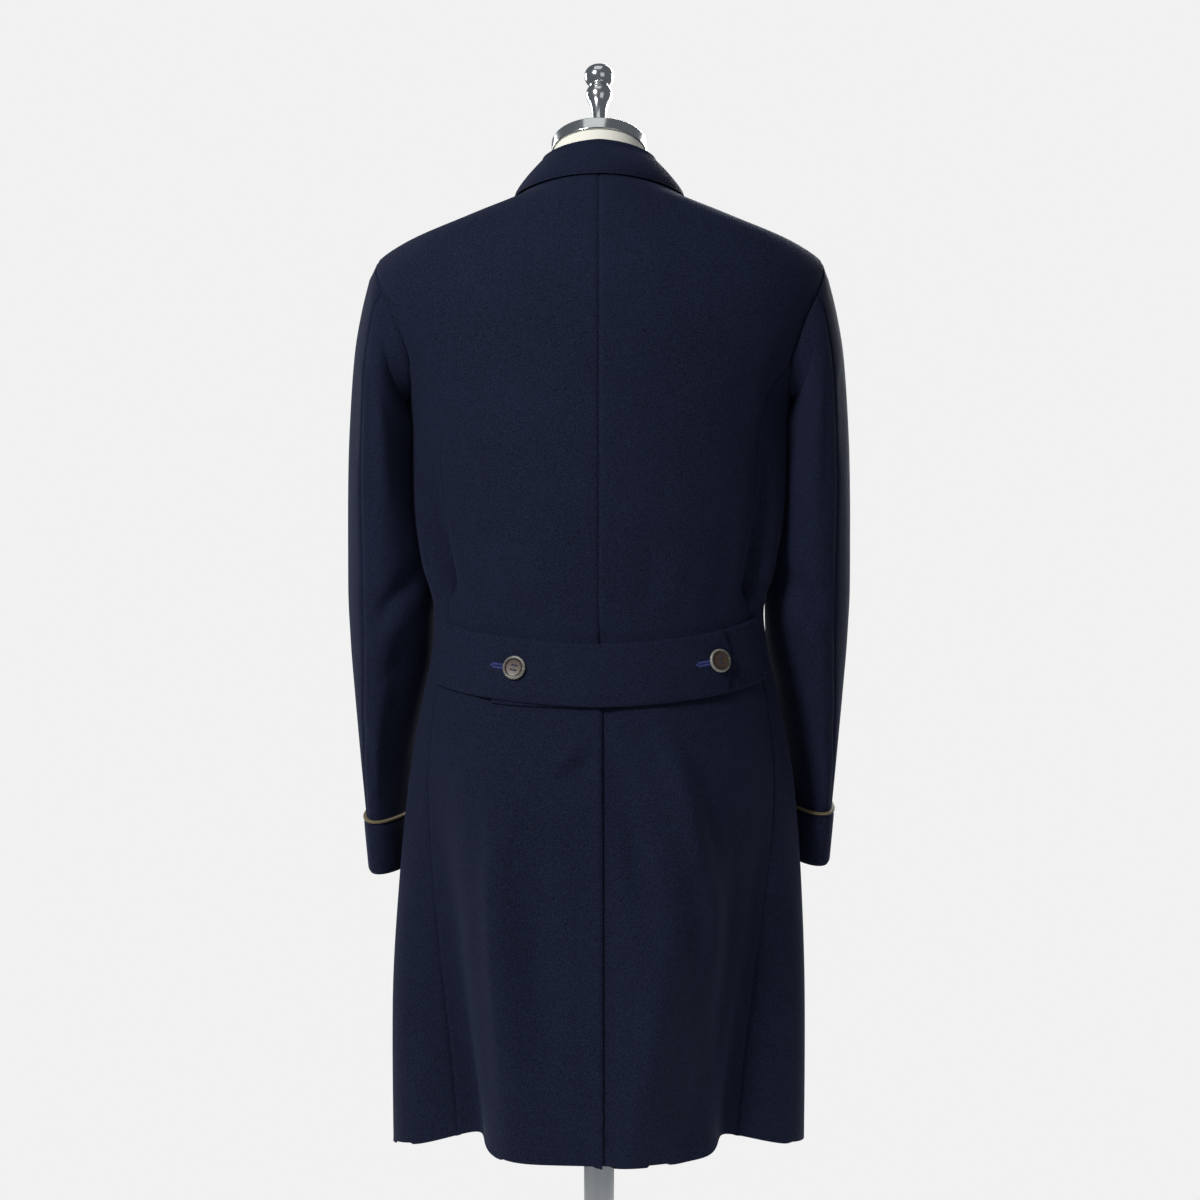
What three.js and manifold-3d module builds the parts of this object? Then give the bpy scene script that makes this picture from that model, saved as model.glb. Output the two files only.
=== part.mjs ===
// Wool overcoat with a half belt at the back, on a limbless tailor's dress form with a pole and base.
// Millimetres, +Z up. The front of the coat faces -Y, the wearer's left is +X, and the base stands on Z = 0.
// Every cloth piece is a wall: a surface worked out from rings of the coat, and the same surface moved in.
import * as THREE from 'three';
import { mergeVertices } from 'three/addons/utils/BufferGeometryUtils.js';
import Module from 'manifold-3d';

const wasm = await Module();
wasm.setup();

// Driving dimensions
const cloth = 2;                 // wall of the overcoating
const seam = 0.55;               // gap between two sewn pieces
const layer = 0.5;               // gap between pieces that lie on each other
const lapClear = 0.9;            // gap between the two layers of the vent, and of the fronts
const hemLevel = 350;
const underarm = 1131;
const shoulderTip = 1283;
const neckLevel = 1368;
const fallLevel = 1348;          // the collar's lower edge lies along this ring
const ventTop = 850;
const ventSinkTop = 872;         // above this level the right back rises again, level with the left
const ventSinkFades = 33;
const underlap = 13.2;           // degrees that the vent's under layer runs past the centre back
const lapelBreak = 1110;
const frontsPart = 1226;         // above this level neither front lies over the other
const lapelTop = 1336;
const lapelRest = 1.6;           // how far a lapel lies off its front
const lapelWide = 95;
const gorgeDrop = 54;            // how far the lapel's tip lies below the top of its roll
const lapGapX = 3;               // how far the right lapel's edge keeps from the left front over it
const rollAtNeck = 36;
const frontLap = 8.6;            // degrees that each front runs past the centre front
const armholeOpen = { back: 30, front: 33 };   // degrees from the side to the armhole's edges
const armholeSteps = 18;
const beltWidth = 65;
const cuffWall = 2.5;
const trimWall = 3;
const beltWall = 2.6;            // two layers of cloth
const pointAcross = 0.15;        // where the belt's pointed end has its tip, up from its middle line
const pointDeep = 3.6;           // degrees from that tip back to the belt's corners
const underDroop = 4;            // how far the under piece's free end hangs below the over piece
const beltRest = 1.4;            // how far the belt lies off the coat
const buttonClear = 0.6;
const buttonAcross = 0.02;       // how far up from the belt's middle line its buttons sit
const frontButtonLevels = [1075, 970, 865];
const shoulderEnd = 206;         // half the form's width across its shoulders
const capTall = 14;
const neckTilt = 22.5;           // degrees that the neck's top leans forward
const neckTop = new THREE.Vector3(0, 0, 1397);
const capWide = 101.6;
const formBottom = 655;
const poleWide = 32;
const baseWide = 330;
const baseTall = 22;

// A table has named columns and a row for each section. The first column is the one it is read by.
function table(columns, ...rows) {
  return rows.map((row) => Object.fromEntries(columns.map((name, i) => [name, row[i]])));
}

// Rings round the coat, from the hem to the neck. side, back and front are a ring's heights there, left and
// right its half widths, deepBack and deepFront its depths. Across the armholes a ring bulges as if closed.
const rings = table(
  ['side', 'back', 'front', 'left', 'right', 'deepBack', 'deepFront'],
  [hemLevel, 350, 350, 215, 215, 170, 150],
  [492, 492, 492, 214, 214, 161, 146],
  [631, 631, 631, 209, 212, 150, 140],
  [719, 719, 719, 203, 208, 138, 133],
  [797, 797, 797, 192, 196, 124, 127],
  [871, 871, 871, 178, 180, 111, 120],
  [905, 905, 905, 176, 176, 108, 118],
  [960, 960, 960, 187, 186, 112, 121],
  [1030, 1030, 1030, 197, 197, 121, 127],
  [underarm, 1131, 1131, 203, 205, 131, 134],
  [1169, 1166, 1163, 222, 224, 132, 133],
  [1207, 1202, 1196, 244, 246, 130, 129],
  [1245, 1240, 1224, 254, 256, 126, 121],
  [1264, 1264, 1240, 250, 252, 122, 116],
  [shoulderTip, 1290, 1256, 234, 236, 116, 110],
  [1300, 1318, 1275, 208, 210, 106, 101],
  [1324, 1342, 1293, 150, 151, 95, 88],
  [fallLevel, 1362, 1308, 90, 91, 80, 73],
  [neckLevel, 1378, 1320, 65, 65, 58, 58],
);

// The seam between each back and its front, in degrees from the centre back.
const sideBackSeam = table(
  ['level', 'turn'],
  [hemLevel, 54], [518, 59], [650, 63], [797, 66], [870, 67], [930, 62], [1030, 57], [1095, 56],
  [underarm, 58], [1169, 64.02],
);

// Folds of the cloth. Each starts at the level from, is full at to, and is gone tail beyond that. turnFrom
// and turnTo say where it runs, wide is half its width, and deep is how far it stands out, or in if negative.
const folds = table(
  ['from', 'to', 'tail', 'turnFrom', 'turnTo', 'wide', 'deep'],
  [822, hemLevel, 400, 62, 47, 36, -50],
  [822, hemLevel, 400, -62, -49, 36, -48],
  [815, 420, 500, 28, 19, 30, 7],
  [812, 620, 600, -26, -17, 26, 9],
  [800, 480, 500, 84, 79, 30, 8],
  [800, 500, 500, -84, -80, 30, 7],
  [800, hemLevel, 400, 134, 140, 34, -16],
  [800, hemLevel, 400, -132, -138, 34, -18],
  [1150, 940, 30, 70, 73, 18, 6],
  [1150, 940, 30, 60, 59, 14, -5],
  [1140, 945, 30, -73, -75, 18, 7],
  [1120, 940, 30, -57, -61, 14, -5],
);

// Where the hem is drawn up, in degrees and millimetres.
const hemLifts = table(
  ['turn', 'wide', 'lift'],
  [47, 14, 20], [-49, 14, 17], [139, 16, 6], [-137, 16, 7],
);
const hemLiftFades = 160;

// Rings of the left sleeve below the armhole. out and in are its outer and inner edges, deep is half its
// depth, midY its middle, twist turns it about its own length, and slant lowers its back edge.
const sleeveRings = table(
  ['outX', 'outZ', 'inX', 'inZ', 'deep', 'midY', 'twist', 'slant'],
  [245, 1262, 211, 1124, 64, 0, 0, 0],
  [253, 1230, 208.5, 1104, 68, -2, 0, 0],
  [261, 1186, 205.5, 1078, 73, -7, 0, 0],
  [266, 1130, 202.5, 1048, 78, -14, 0, 0],
  [269.5, 1066, 199, 1016, 80, -23, 0, 0],
  [271, 1000, 193.5, 976, 78, -32, 0, 0.02],
  [271.5, 935, 186, 926, 76, -41, 1, 0.04],
  [269, 876, 183, 874, 75, -48, 3, 0.08],
  [263, 816, 190, 816, 74, -55, 7, 0.12],
  [255, 758, 197, 758, 73, -61, 11, 0.16],
  [246, 700, 199, 700, 70, -68, 15, 0.2],
  [238, 640, 196, 640, 68, -74, 18, 0.22],
);
const sleeveRaise = { left: 0, right: 9 };
const cuffRings = { bottom: 12, top: 11.1 };
const trimRings = { bottom: 11.09, top: 11.05 };

// The belt's centre line: its height falls from the ends to the middle of the back.
const belt = { middle: 842, ends: 864.5, endTurn: 67, sag: 1.6, rightLift: 4 };
const beltButtons = { left: 27.8, right: -41.5 };
const beltPoint = -48;
const underBeltEnd = 36;

// The dress form: the same heights as the coat's rings, its own half width and depths.
const formRings = table(
  ['side', 'half', 'deepBack', 'deepFront'],
  [formBottom, 150, 100, 96],
  [719, 162, 110, 106],
  [797, 158, 104, 106],
  [871, 142, 88, 98],
  [960, 156, 94, 108],
  [1060, 178, 108, 118],
  [underarm, 186, 116, 122],
  [1207, 194, 117, 118],
  [1264, 198, 112, 109],
);
const formShoulders = { drop: 3.1, side: 1.5, deep: 2.6 };
const neckRings = table(
  ['z', 'radius', 'slope'],
  [1374, 53, 0.15], [1385, 50.5, 0.3], [neckTop.z, 49, 0.414],
);

const materials = {
  wool: new THREE.MeshStandardMaterial({ color: 0x1b2031, roughness: 0.95 }),
  trim: new THREE.MeshStandardMaterial({ color: 0x8a7a58, roughness: 0.9 }),
  horn: new THREE.MeshStandardMaterial({ color: 0x2a211d, roughness: 0.35 }),
  canvas: new THREE.MeshStandardMaterial({ color: 0xe6e0d2, roughness: 0.9 }),
  chrome: new THREE.MeshStandardMaterial({ color: 0xd5d8dc, roughness: 0.15, metalness: 1 }),
};

const radians = THREE.MathUtils.degToRad;
const clamp = THREE.MathUtils.clamp;
const lerp = THREE.MathUtils.lerp;
const ease = (t) => THREE.MathUtils.smoothstep(t, 0, 1);
const range = (count) => Array.from({ length: count }, (_, i) => i);
const spread = (from, to, steps) => range(steps + 1).map((i) => lerp(from, to, i / steps));

// A column's value at a place along a table: a smooth curve through the rows that never overshoots them.
function read(rows, key, column, at) {
  const last = rows.length - 1;
  const place = clamp(at, rows[0][key], rows[last][key]);
  let i = 0;
  while (i < last - 1 && place > rows[i + 1][key]) i += 1;
  const rise = (k) => (rows[k + 1][column] - rows[k][column]) / (rows[k + 1][key] - rows[k][key]);
  const slope = (k) => {
    if (k === 0 || k === last) return rise(Math.min(k, last - 1));
    const [before, after] = [rise(k - 1), rise(k)];
    return before * after <= 0 ? 0 : (2 * before * after) / (before + after);
  };
  const length = rows[i + 1][key] - rows[i][key];
  const t = (place - rows[i][key]) / length;
  return rows[i][column] * (1 + 2 * t) * (1 - t) ** 2 + slope(i) * length * t * (1 - t) ** 2
    + rows[i + 1][column] * t * t * (3 - 2 * t) - slope(i + 1) * length * t * t * (1 - t);
}

const numbered = sleeveRings.map((row, i) => ({ ...row, ring: i + 1 }));

// A surface is a function from two numbers to a point, with a core function that gives a point inside it.
function normalOf(surface, u, v) {
  if (surface.normal) return surface.normal(u, v);
  return plainNormal(surface, u, v);
}

function plainNormal(surface, u, v) {
  const du = surface.at(u + surface.du, v).sub(surface.at(u - surface.du, v));
  const dv = surface.at(u, v + surface.dv).sub(surface.at(u, v - surface.dv));
  const normal = du.cross(dv).normalize();
  const out = surface.at(u, v).sub(surface.core(u, v));
  return normal.dot(out) < 0 ? normal.negate() : normal;
}

function moved(surface, u, v, out) {
  return surface.at(u, v).addScaledVector(normalOf(surface, u, v), out);
}

// The coat without its folds. turn is in degrees: 0 at the centre back, 90 at the left side, 180 in front.
const plainCoat = {
  du: 0.5,
  dv: 1,
  at(turn, level) {
    const [sine, cosine] = [Math.sin(radians(turn)), Math.cos(radians(turn))];
    const ring = (column) => read(rings, 'side', column, level);
    const side = clamp(level, hemLevel, neckLevel);
    const end = cosine > 0 ? ring('back') : ring('front');
    return new THREE.Vector3(
      sine * (sine > 0 ? ring('left') : ring('right')),
      cosine * (cosine > 0 ? ring('deepBack') : ring('deepFront')),
      side + (end - side) * cosine * cosine,
    );
  },
  core: (turn, level) => new THREE.Vector3(0, 0, clamp(level, hemLevel, neckLevel) - 40),
};

const foldRadius = 165;
function foldAt(turn, level) {
  let depth = 0;
  for (const fold of folds) {
    const along = (level - fold.from) / (fold.to - fold.from);
    if (along <= 0) continue;
    const past = Math.abs(level - fold.to) / fold.tail;
    const strength = along < 1 ? ease(along) : 1 - ease(clamp(past, 0, 1));
    const across = radians(turn - lerp(fold.turnFrom, fold.turnTo, along)) * foldRadius;
    depth += fold.deep * strength * Math.exp(-((across / fold.wide) ** 2));
  }
  return depth;
}

function hemLiftAt(turn, level) {
  const fade = clamp(1 - (level - hemLevel) / hemLiftFades, 0, 1) ** 2;
  const lifts = hemLifts.map((row) => row.lift * Math.exp(-(((turn - row.turn) / row.wide) ** 2)));
  return fade * lifts.reduce((sum, lift) => sum + lift);
}

// The coat with its folds. sink moves a layer in where it runs beneath another one.
function coat(sink = () => 0) {
  const around = (turn) => (turn > 180 ? turn - 360 : turn < -180 ? turn + 360 : turn);
  return {
    du: 0.3,
    dv: 1,
    at(turn, level) {
      const point = moved(plainCoat, turn, level, foldAt(around(turn), level) - sink(turn, level));
      point.z += hemLiftAt(around(turn), level);
      return point;
    },
    core: plainCoat.core,
  };
}

// Collects the pieces of a surface as a net of (u, v) corners, so that neighbouring patches share them.
class Net {
  constructor() {
    this.corners = [];
    this.faces = [];
    this.known = new Map();
  }

  corner(u, v) {
    const key = `${u.toFixed(4)}|${v.toFixed(4)}`;
    if (!this.known.has(key)) this.known.set(key, this.corners.push([u, v]) - 1);
    return this.known.get(key);
  }

  // rows is a list of rows, each a list of [u, v]; a row may draw together to a point.
  patch(rows) {
    const ids = rows.map((row) => row.map(([u, v]) => this.corner(u, v)));
    for (let r = 0; r + 1 < ids.length; r += 1) {
      for (let c = 0; c + 1 < ids[r].length; c += 1) {
        const face = [ids[r][c], ids[r][c + 1], ids[r + 1][c + 1], ids[r + 1][c]];
        const whole = face.filter((id, i) => id !== face[(i + 1) % 4]);
        if (whole.length > 2) this.faces.push(whole);
      }
    }
    return this;
  }
}

function solid(points, triangles) {
  const geometry = new THREE.BufferGeometry();
  const places = points.flatMap((p) => [p.x, p.y, p.z]);
  geometry.setAttribute('position', new THREE.Float32BufferAttribute(places, 3));
  const volumes = triangles.map(([a, b, c]) => points[a].dot(points[b].clone().cross(points[c])));
  const volume = volumes.reduce((sum, one) => sum + one);
  geometry.setIndex(triangles.flatMap(([a, b, c]) => (volume > 0 ? [a, b, c] : [a, c, b])));
  return geometry;
}

const fan = (face) => range(face.length - 2).map((i) => [face[0], face[i + 1], face[i + 2]]);

// A closed wall on a net: its outer face on the surface moved out by lift, its inner face wall below that.
function walled(surface, net, wall = cloth, lift = 0) {
  const place = (depth) => net.corners.map(([u, v]) => moved(surface, u, v, lift - depth));
  const count = net.corners.length;
  const triangles = [];
  const sides = new Map();
  for (const face of net.faces) {
    triangles.push(...fan(face));
    triangles.push(...fan(face.map((id) => id + count).reverse()));
    face.forEach((a, i) => {
      const b = face[(i + 1) % face.length];
      if (sides.has(`${b},${a}`)) sides.delete(`${b},${a}`);
      else sides.set(`${a},${b}`, [a, b]);
    });
  }
  for (const [a, b] of sides.values()) triangles.push([b, a, a + count], [b, a + count, b + count]);
  return solid([...place(0), ...place(wall)], triangles);
}

// A closed body through rings of points, with flat ends.
function lofted(rows) {
  const size = rows[0].length;
  const points = rows.flat();
  const triangles = [];
  for (let r = 0; r + 1 < rows.length; r += 1) {
    for (let i = 0; i < size; i += 1) {
      const next = (i + 1) % size;
      const [a, b] = [r * size + i, r * size + next];
      triangles.push([a, b, b + size], [a, b + size, a + size]);
    }
  }
  const top = (rows.length - 1) * size;
  const end = fan(range(size));
  triangles.push(...end.map(([a, b, c]) => [c, b, a]));
  triangles.push(...end.map((face) => face.map((i) => i + top)));
  return solid(points, triangles);
}

// A turned body about the Z axis from [radius, height] pairs that start and end on the axis.
function turned(profile, segments) {
  const geometry = new THREE.LatheGeometry(profile.map(([r, z]) => new THREE.Vector2(r, z)), segments);
  return geometry.rotateX(Math.PI / 2);
}

function toManifold(geometry) {
  const bare = geometry.clone();
  bare.deleteAttribute('normal');
  bare.deleteAttribute('uv');
  const merged = mergeVertices(bare, 1e-4);
  return new wasm.Manifold(new wasm.Mesh({
    numProp: 3,
    vertProperties: new Float32Array(merged.attributes.position.array),
    triVerts: new Uint32Array(merged.index.array),
  }));
}

function fromManifold(body) {
  const mesh = body.getMesh();
  const geometry = new THREE.BufferGeometry();
  geometry.setAttribute('position', new THREE.BufferAttribute(mesh.vertProperties, 3));
  geometry.setIndex(new THREE.BufferAttribute(mesh.triVerts, 1));
  return geometry;
}

const overcoat = new THREE.Group();
function add(name, geometry, material) {
  const mesh = new THREE.Mesh(geometry, material);
  mesh.name = name;
  overcoat.add(mesh);
  return mesh;
}

// ---- Backs and fronts ----

const halfSeam = (seam / 2 / foldRadius) * (180 / Math.PI);   // half the seam gap, in degrees
const armholeMiddle = (underarm + shoulderTip) / 2;
const armholeHalf = (shoulderTip - underarm) / 2;
const armholeTurns = spread(0, 360, armholeSteps);

// The armhole, round from the shoulder tip by the back: its level and turn.
function armholeAt(angle) {
  const sine = Math.sin(radians(angle));
  return {
    level: armholeMiddle + armholeHalf * Math.cos(radians(angle)),
    turn: 90 - sine * (sine > 0 ? armholeOpen.back : armholeOpen.front),
  };
}

const skirtLevels = [hemLevel, 410, 480, 550, 625, 700, 770, 830, 870, 905, 955, 1010, 1060, lapelBreak];
const armholeLevels = armholeTurns.filter((angle) => angle >= 180).map((angle) => armholeAt(angle).level);
const shoulderLevels = [1300, 1324, fallLevel, neckLevel - seam];
const upTo = (levels, top) => levels.filter((level) => level <= top + 0.01);
const joinLevel = armholeAt(120).level;
const backLevels = [...skirtLevels, ...armholeLevels, ...shoulderLevels];
const seamAt = (level) => read(sideBackSeam, 'level', 'turn', level);

function armholeEdge(level, where) {
  const across = (level - armholeMiddle) / armholeHalf;
  return 90 - where * Math.sqrt(Math.max(0, 1 - across * across));
}

function backEdge(level) {
  if (level <= joinLevel) return seamAt(level) - halfSeam;
  if (level < shoulderTip) return armholeEdge(level, armholeOpen.back) - halfSeam;
  return 90 - halfSeam;
}

const backSteps = 10;
function backRow(level, from, side) {
  return spread(from, backEdge(level), backSteps).map((turn) => [side * turn, level]);
}
const ventLap = 0.9;

function backLeftNet() {
  return new Net().patch(backLevels.map((level) => backRow(level, level < ventTop ? -ventLap : halfSeam, 1)));
}

// The right back carries the vent's under layer on past the centre.
function backRightNet() {
  const net = new Net().patch(backLevels.map((level) => backRow(level, level < ventTop ? 0 : halfSeam, -1)));
  const lapLevels = upTo(skirtLevels, ventTop);
  return net.patch(lapLevels.map((level) => spread(underlap, 0, 2).map((turn) => [turn, level])));
}

const under = cloth + lapClear;
const ventSink = (turn, level) => under * ease(clamp((turn + 7) / 5, 0, 1))
  * (1 - ease(clamp((level - ventSinkTop) / ventSinkFades, 0, 1)));

add('back_left', walled(coat(), backLeftNet()), materials.wool);
add('back_right', walled(coat(ventSink), backRightNet()), materials.wool);

const frontSteps = 10;
const sideSteps = 4;
const halfWidth = (level) => read(rings, 'side', 'left', level);
const lapX = halfWidth(lapelBreak) * Math.sin(radians(frontLap));

// The front's edge: past the centre below the break, and along the lapel's roll above it.
const alongRoll = (level) => clamp((level - lapelBreak) / (neckLevel - lapelBreak), 0, 1);
const rollX = (level) => lerp(-lapX, rollAtNeck, alongRoll(level));
const turnAtX = (x, level) => 180 - THREE.MathUtils.radToDeg(Math.asin(clamp(x / halfWidth(level), -1, 1)));
const rollTurn = (level) => (level <= lapelBreak ? 180 + frontLap : turnAtX(rollX(level), level));

// A front runs from the side-back seam under the arm to its own edge past the centre front.
function frontNet(side) {
  const net = new Net();
  const row = (level, from, to, steps) => spread(from, to, steps).map((turn) => [side * turn, level]);
  const low = upTo(backLevels, underarm);
  net.patch(low.map((level) => row(level, seamAt(level) + halfSeam, 90, sideSteps)));
  net.patch(low.map((level) => row(level, 90, rollTurn(level), frontSteps)));
  const behind = armholeLevels.filter((level) => level <= joinLevel + 0.01);
  net.patch(behind.map((level) => {
    const edge = armholeEdge(level, armholeOpen.back);
    return row(level, Math.min(seamAt(level) + halfSeam, edge), edge, sideSteps);
  }));
  const high = backLevels.filter((level) => level >= underarm - 0.01);
  return net.patch(high.map((level) => {
    const edge = level < shoulderTip - 0.01 ? armholeEdge(level, -armholeOpen.front) : 90 + halfSeam;
    return row(level, edge, rollTurn(level), frontSteps);
  }));
}

const frontSink = (turn, level) => under * ease(clamp((-turn - (180 - frontLap - 7)) / 5, 0, 1))
  * (1 - ease(clamp((level - frontsPart) / 40, 0, 1)));
const frontSurface = { left: coat(), right: coat(frontSink) };
for (const [side, sign] of [['left', 1], ['right', -1]]) {
  add(`front_${side}`, walled(frontSurface[side], frontNet(sign)), materials.wool);
}

// ---- Sleeves and cuffs ----

// A sleeve runs from the armhole, ring 0, through the sleeve rings. angle goes round from its top by
// the back.
function sleeve(side) {
  const sign = side === 'left' ? 1 : -1;
  const armhole = coat();
  const centre = (ring) => {
    const value = (column) => read(numbered, 'ring', column, Math.max(ring, 1));
    return new THREE.Vector3(
      sign * (value('outX') + value('inX')) / 2,
      value('midY'),
      (value('outZ') + value('inZ')) / 2 + sleeveRaise[side] * clamp((ring - 5) / 5, 0, 1),
    );
  };
  const lower = (angle, ring) => {
    const value = (column) => read(numbered, 'ring', column, ring);
    const half = { x: (value('outX') - value('inX')) / 2, z: (value('outZ') - value('inZ')) / 2 };
    const [cosine, sine] = [Math.cos(radians(angle)), Math.sin(radians(angle))];
    const twist = radians(value('twist'));
    const x = half.x * cosine * Math.cos(twist) + value('deep') * sine * Math.sin(twist);
    const y = value('deep') * sine * Math.cos(twist) - half.x * cosine * Math.sin(twist);
    const z = half.z * cosine - value('slant') * y;
    return centre(ring).add(new THREE.Vector3(sign * x, y, z));
  };
  // Over the shoulder the sleeve goes on in the coat's own direction; under the arm it turns away from it.
  const goesOn = (angle) => ease(clamp(Math.cos(radians(angle)) + 0.5, 0, 1));
  return {
    du: 1,
    dv: 0.02,
    at(angle, ring) {
      if (ring >= 1) return lower(angle, ring);
      const edge = armholeAt(angle);
      const normal = normalOf(armhole, sign * edge.turn, edge.level);
      const start = armhole.at(sign * edge.turn, edge.level);
      const onward = lower(angle, 1).sub(start).projectOnPlane(normal).normalize();
      start.addScaledVector(onward.lerp(normal, 1 - goesOn(angle)), seam);
      return start.lerp(lower(angle, 1), clamp(ring, 0, 1));
    },
    normal(angle, ring) {
      const own = plainNormal(this, angle, ring);
      if (ring > 0) return own;
      const edge = armholeAt(angle);
      return own.lerp(normalOf(armhole, sign * edge.turn, edge.level), goesOn(angle)).normalize();
    },
    core: (angle, ring) => (ring >= 1 ? centre(ring) : centre(1).add(new THREE.Vector3(-12 * sign, 0, 8))),
  };
}

const backSeamAngle = 60;
const frontSeamAngle = 260;
const seamAngle = 0.3;
const cuffRows = [cuffRings.top, (cuffRings.bottom + cuffRings.top) / 2, cuffRings.bottom];
const sleeveRows = [...range(11), ...cuffRows];

function tubeNet(from, to, rows, gap = seamAngle) {
  const steps = Math.round(Math.abs(to - from) / (360 / armholeSteps));
  const inside = to - from < 360;
  const angles = inside ? spread(from, to, steps) : spread(from, to, steps).slice(0, -1).concat(from);
  if (inside) {
    angles[0] += gap;
    angles[steps] -= gap;
  }
  return new Net().patch(rows.map((ring) => angles.map((angle) => [angle, ring])));
}

for (const side of ['left', 'right']) {
  const surface = sleeve(side);
  const upper = tubeNet(frontSeamAngle - 360, backSeamAngle, sleeveRows);
  add(`sleeve_upper_${side}`, walled(surface, upper), materials.wool);
  const lower = tubeNet(backSeamAngle, frontSeamAngle, sleeveRows);
  add(`sleeve_under_${side}`, walled(surface, lower), materials.wool);
  const cuff = tubeNet(0, 360, cuffRows);
  add(`cuff_${side}`, walled(surface, cuff, cuffWall, cuffWall + layer), materials.wool);
  const trim = tubeNet(0, 360, [trimRings.bottom, trimRings.top]);
  add(`cuff_trim_${side}`, walled(surface, trim, trimWall, trimWall + layer), materials.trim);
}

// ---- Collar and lapels ----

const collarEnd = 144;
const rollHalf = 4.2;            // half the thickness of the folded collar at its roll
const fallBow = 2.5;
// How far the collar's roll leans in from the neck seam, how high it stands, and how proud the fall's edge is.
const collarRings = table(
  ['turn', 'lean', 'rise', 'edge'],
  [0, -1, 25, 4], [60, 3, 22, 4], [90, 8, 19, 4], [112, 3, 16, 4], [collarEnd, -3, 11, 4.5],
);

// The collar's section: along 0 to 1 is the stand, 1 to 2 the roll, 2 to 3 the fall.
const collarSurface = {
  du: 1,
  dv: 0.05,
  // The neck seam, the direction away from the neck there, and the middle of the roll.
  frame(turn) {
    const value = (column) => read(collarRings, 'turn', column, Math.abs(turn));
    const foot = plainCoat.at(turn, neckLevel).add(new THREE.Vector3(0, 0, seam));
    const outward = new THREE.Vector3(foot.x, foot.y, 0).normalize();
    const roll = foot.clone().addScaledVector(outward, -value('lean'));
    roll.z += value('rise') - rollHalf;
    return { foot, outward, roll, proud: value('edge') };
  },
  at(turn, along) {
    const { foot, outward, roll, proud } = this.frame(turn);
    if (along < 1) return foot.lerp(roll.addScaledVector(outward, -rollHalf), along);
    if (along <= 2) {
      const angle = Math.PI * (along - 1);
      roll.z += rollHalf * Math.sin(angle);
      return roll.addScaledVector(outward, -rollHalf * Math.cos(angle));
    }
    const edge = moved(plainCoat, turn, fallLevel, proud);
    const bow = fallBow * Math.sin(Math.PI * (along - 2));
    return roll.addScaledVector(outward, rollHalf).lerp(edge, along - 2).addScaledVector(outward, bow);
  },
  core(turn, along) {
    const { outward, roll } = this.frame(turn);
    if (along >= 1 && along <= 2) return roll;
    return this.at(turn, along).addScaledVector(outward, along < 1 ? 5 : -5);
  },
};

function gridNet(us, vs) {
  return new Net().patch(vs.map((v) => us.map((u) => [u, v])));
}

const collarAlong = [0, 0.5, 1, 1.33, 1.67, 2, 2.5, 3];
const collarNet = gridNet(spread(-collarEnd, collarEnd, 20), collarAlong);
add('collar', walled(collarSurface, collarNet), materials.wool);

// A lapel lies on its front: u runs out from the roll to the lapel edge, v from the break to the gorge.
function lapel(side) {
  const sign = side === 'left' ? 1 : -1;
  const place = (u, v) => {
    const level = lerp(lapelBreak, lapelTop - gorgeDrop * Math.max(u, 0) ** 1.2, v);
    const roll = rollX(level);
    const inner = side === 'left' ? roll : Math.max(roll, lapGapX - roll);
    return [sign * turnAtX(lerp(inner, roll + lapelWide * v ** 0.85, u), level), level];
  };
  return {
    du: 0.02,
    dv: 0.01,
    at: (u, v) => moved(frontSurface[side], ...place(u, v), lapelRest + cloth),
    core: (u, v) => plainCoat.core(...place(u, v)),
  };
}
for (const [side, start] of [['left', 0.06], ['right', 0.34]]) {
  add(`lapel_${side}`, walled(lapel(side), gridNet(spread(0, 1, 5), spread(start, 1, 12))), materials.wool);
}

// ---- Half belt ----

function beltSurface(lift, droop = 0) {
  const level = (turn, across) => {
    const away = (Math.abs(turn) / belt.endTurn) ** belt.sag;
    const centre = lerp(belt.middle, belt.ends + (turn < 0 ? belt.rightLift : 0), away);
    return centre + across * beltWidth - droop * ease(clamp(turn / underBeltEnd, 0, 1));
  };
  return {
    du: 0.5,
    dv: 0.02,
    level,
    at: (turn, across) => moved(plainCoat, turn, level(turn, across), lift(turn)),
    core: (turn, across) => plainCoat.core(turn, level(turn, across)),
  };
}

const overLift = (turn) => beltRest + beltWall + (beltWall + layer) * ease(clamp((46 - turn) / 8, 0, 1));
const overBelt = beltSurface(overLift);
const beltAcross = [-0.5, -0.2, pointAcross, 0.5];
const beltEnd = belt.endTurn - 0.6;
const overEnd = (across) => beltPoint + pointDeep * Math.min(1, Math.abs(across - pointAcross) / 0.6);
const overNet = new Net().patch(beltAcross.map((across) => (
  spread(beltEnd, overEnd(across), 17).map((turn) => [turn, across]))));
add('belt_over', walled(overBelt, overNet, beltWall), materials.wool);
const underBelt = beltSurface(() => beltRest + beltWall, underDroop);
add('belt_under', walled(underBelt, gridNet(spread(-beltEnd - 3, underBeltEnd, 15), beltAcross), beltWall),
  materials.wool);

// ---- Buttons ----

const buttonProfile = [
  [0, 0], [10.8, 0], [12.25, 1], [12.25, 2.8], [11.3, 4], [9.8, 4.1], [8.4, 3.1], [0, 2.9],
];
const holeAt = 2.5;
const holeRadius = 1.05;

function buttonGeometry() {
  let body = toManifold(turned(buttonProfile, 18));
  const drill = turned([[0, -1], [holeRadius, -1], [holeRadius, 6], [0, 6]], 6);
  for (const [x, y] of [[1, 1], [1, -1], [-1, 1], [-1, -1]]) {
    body = body.subtract(toManifold(drill.clone().translate(x * holeAt, y * holeAt, 0)));
  }
  return fromManifold(body);
}

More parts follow.
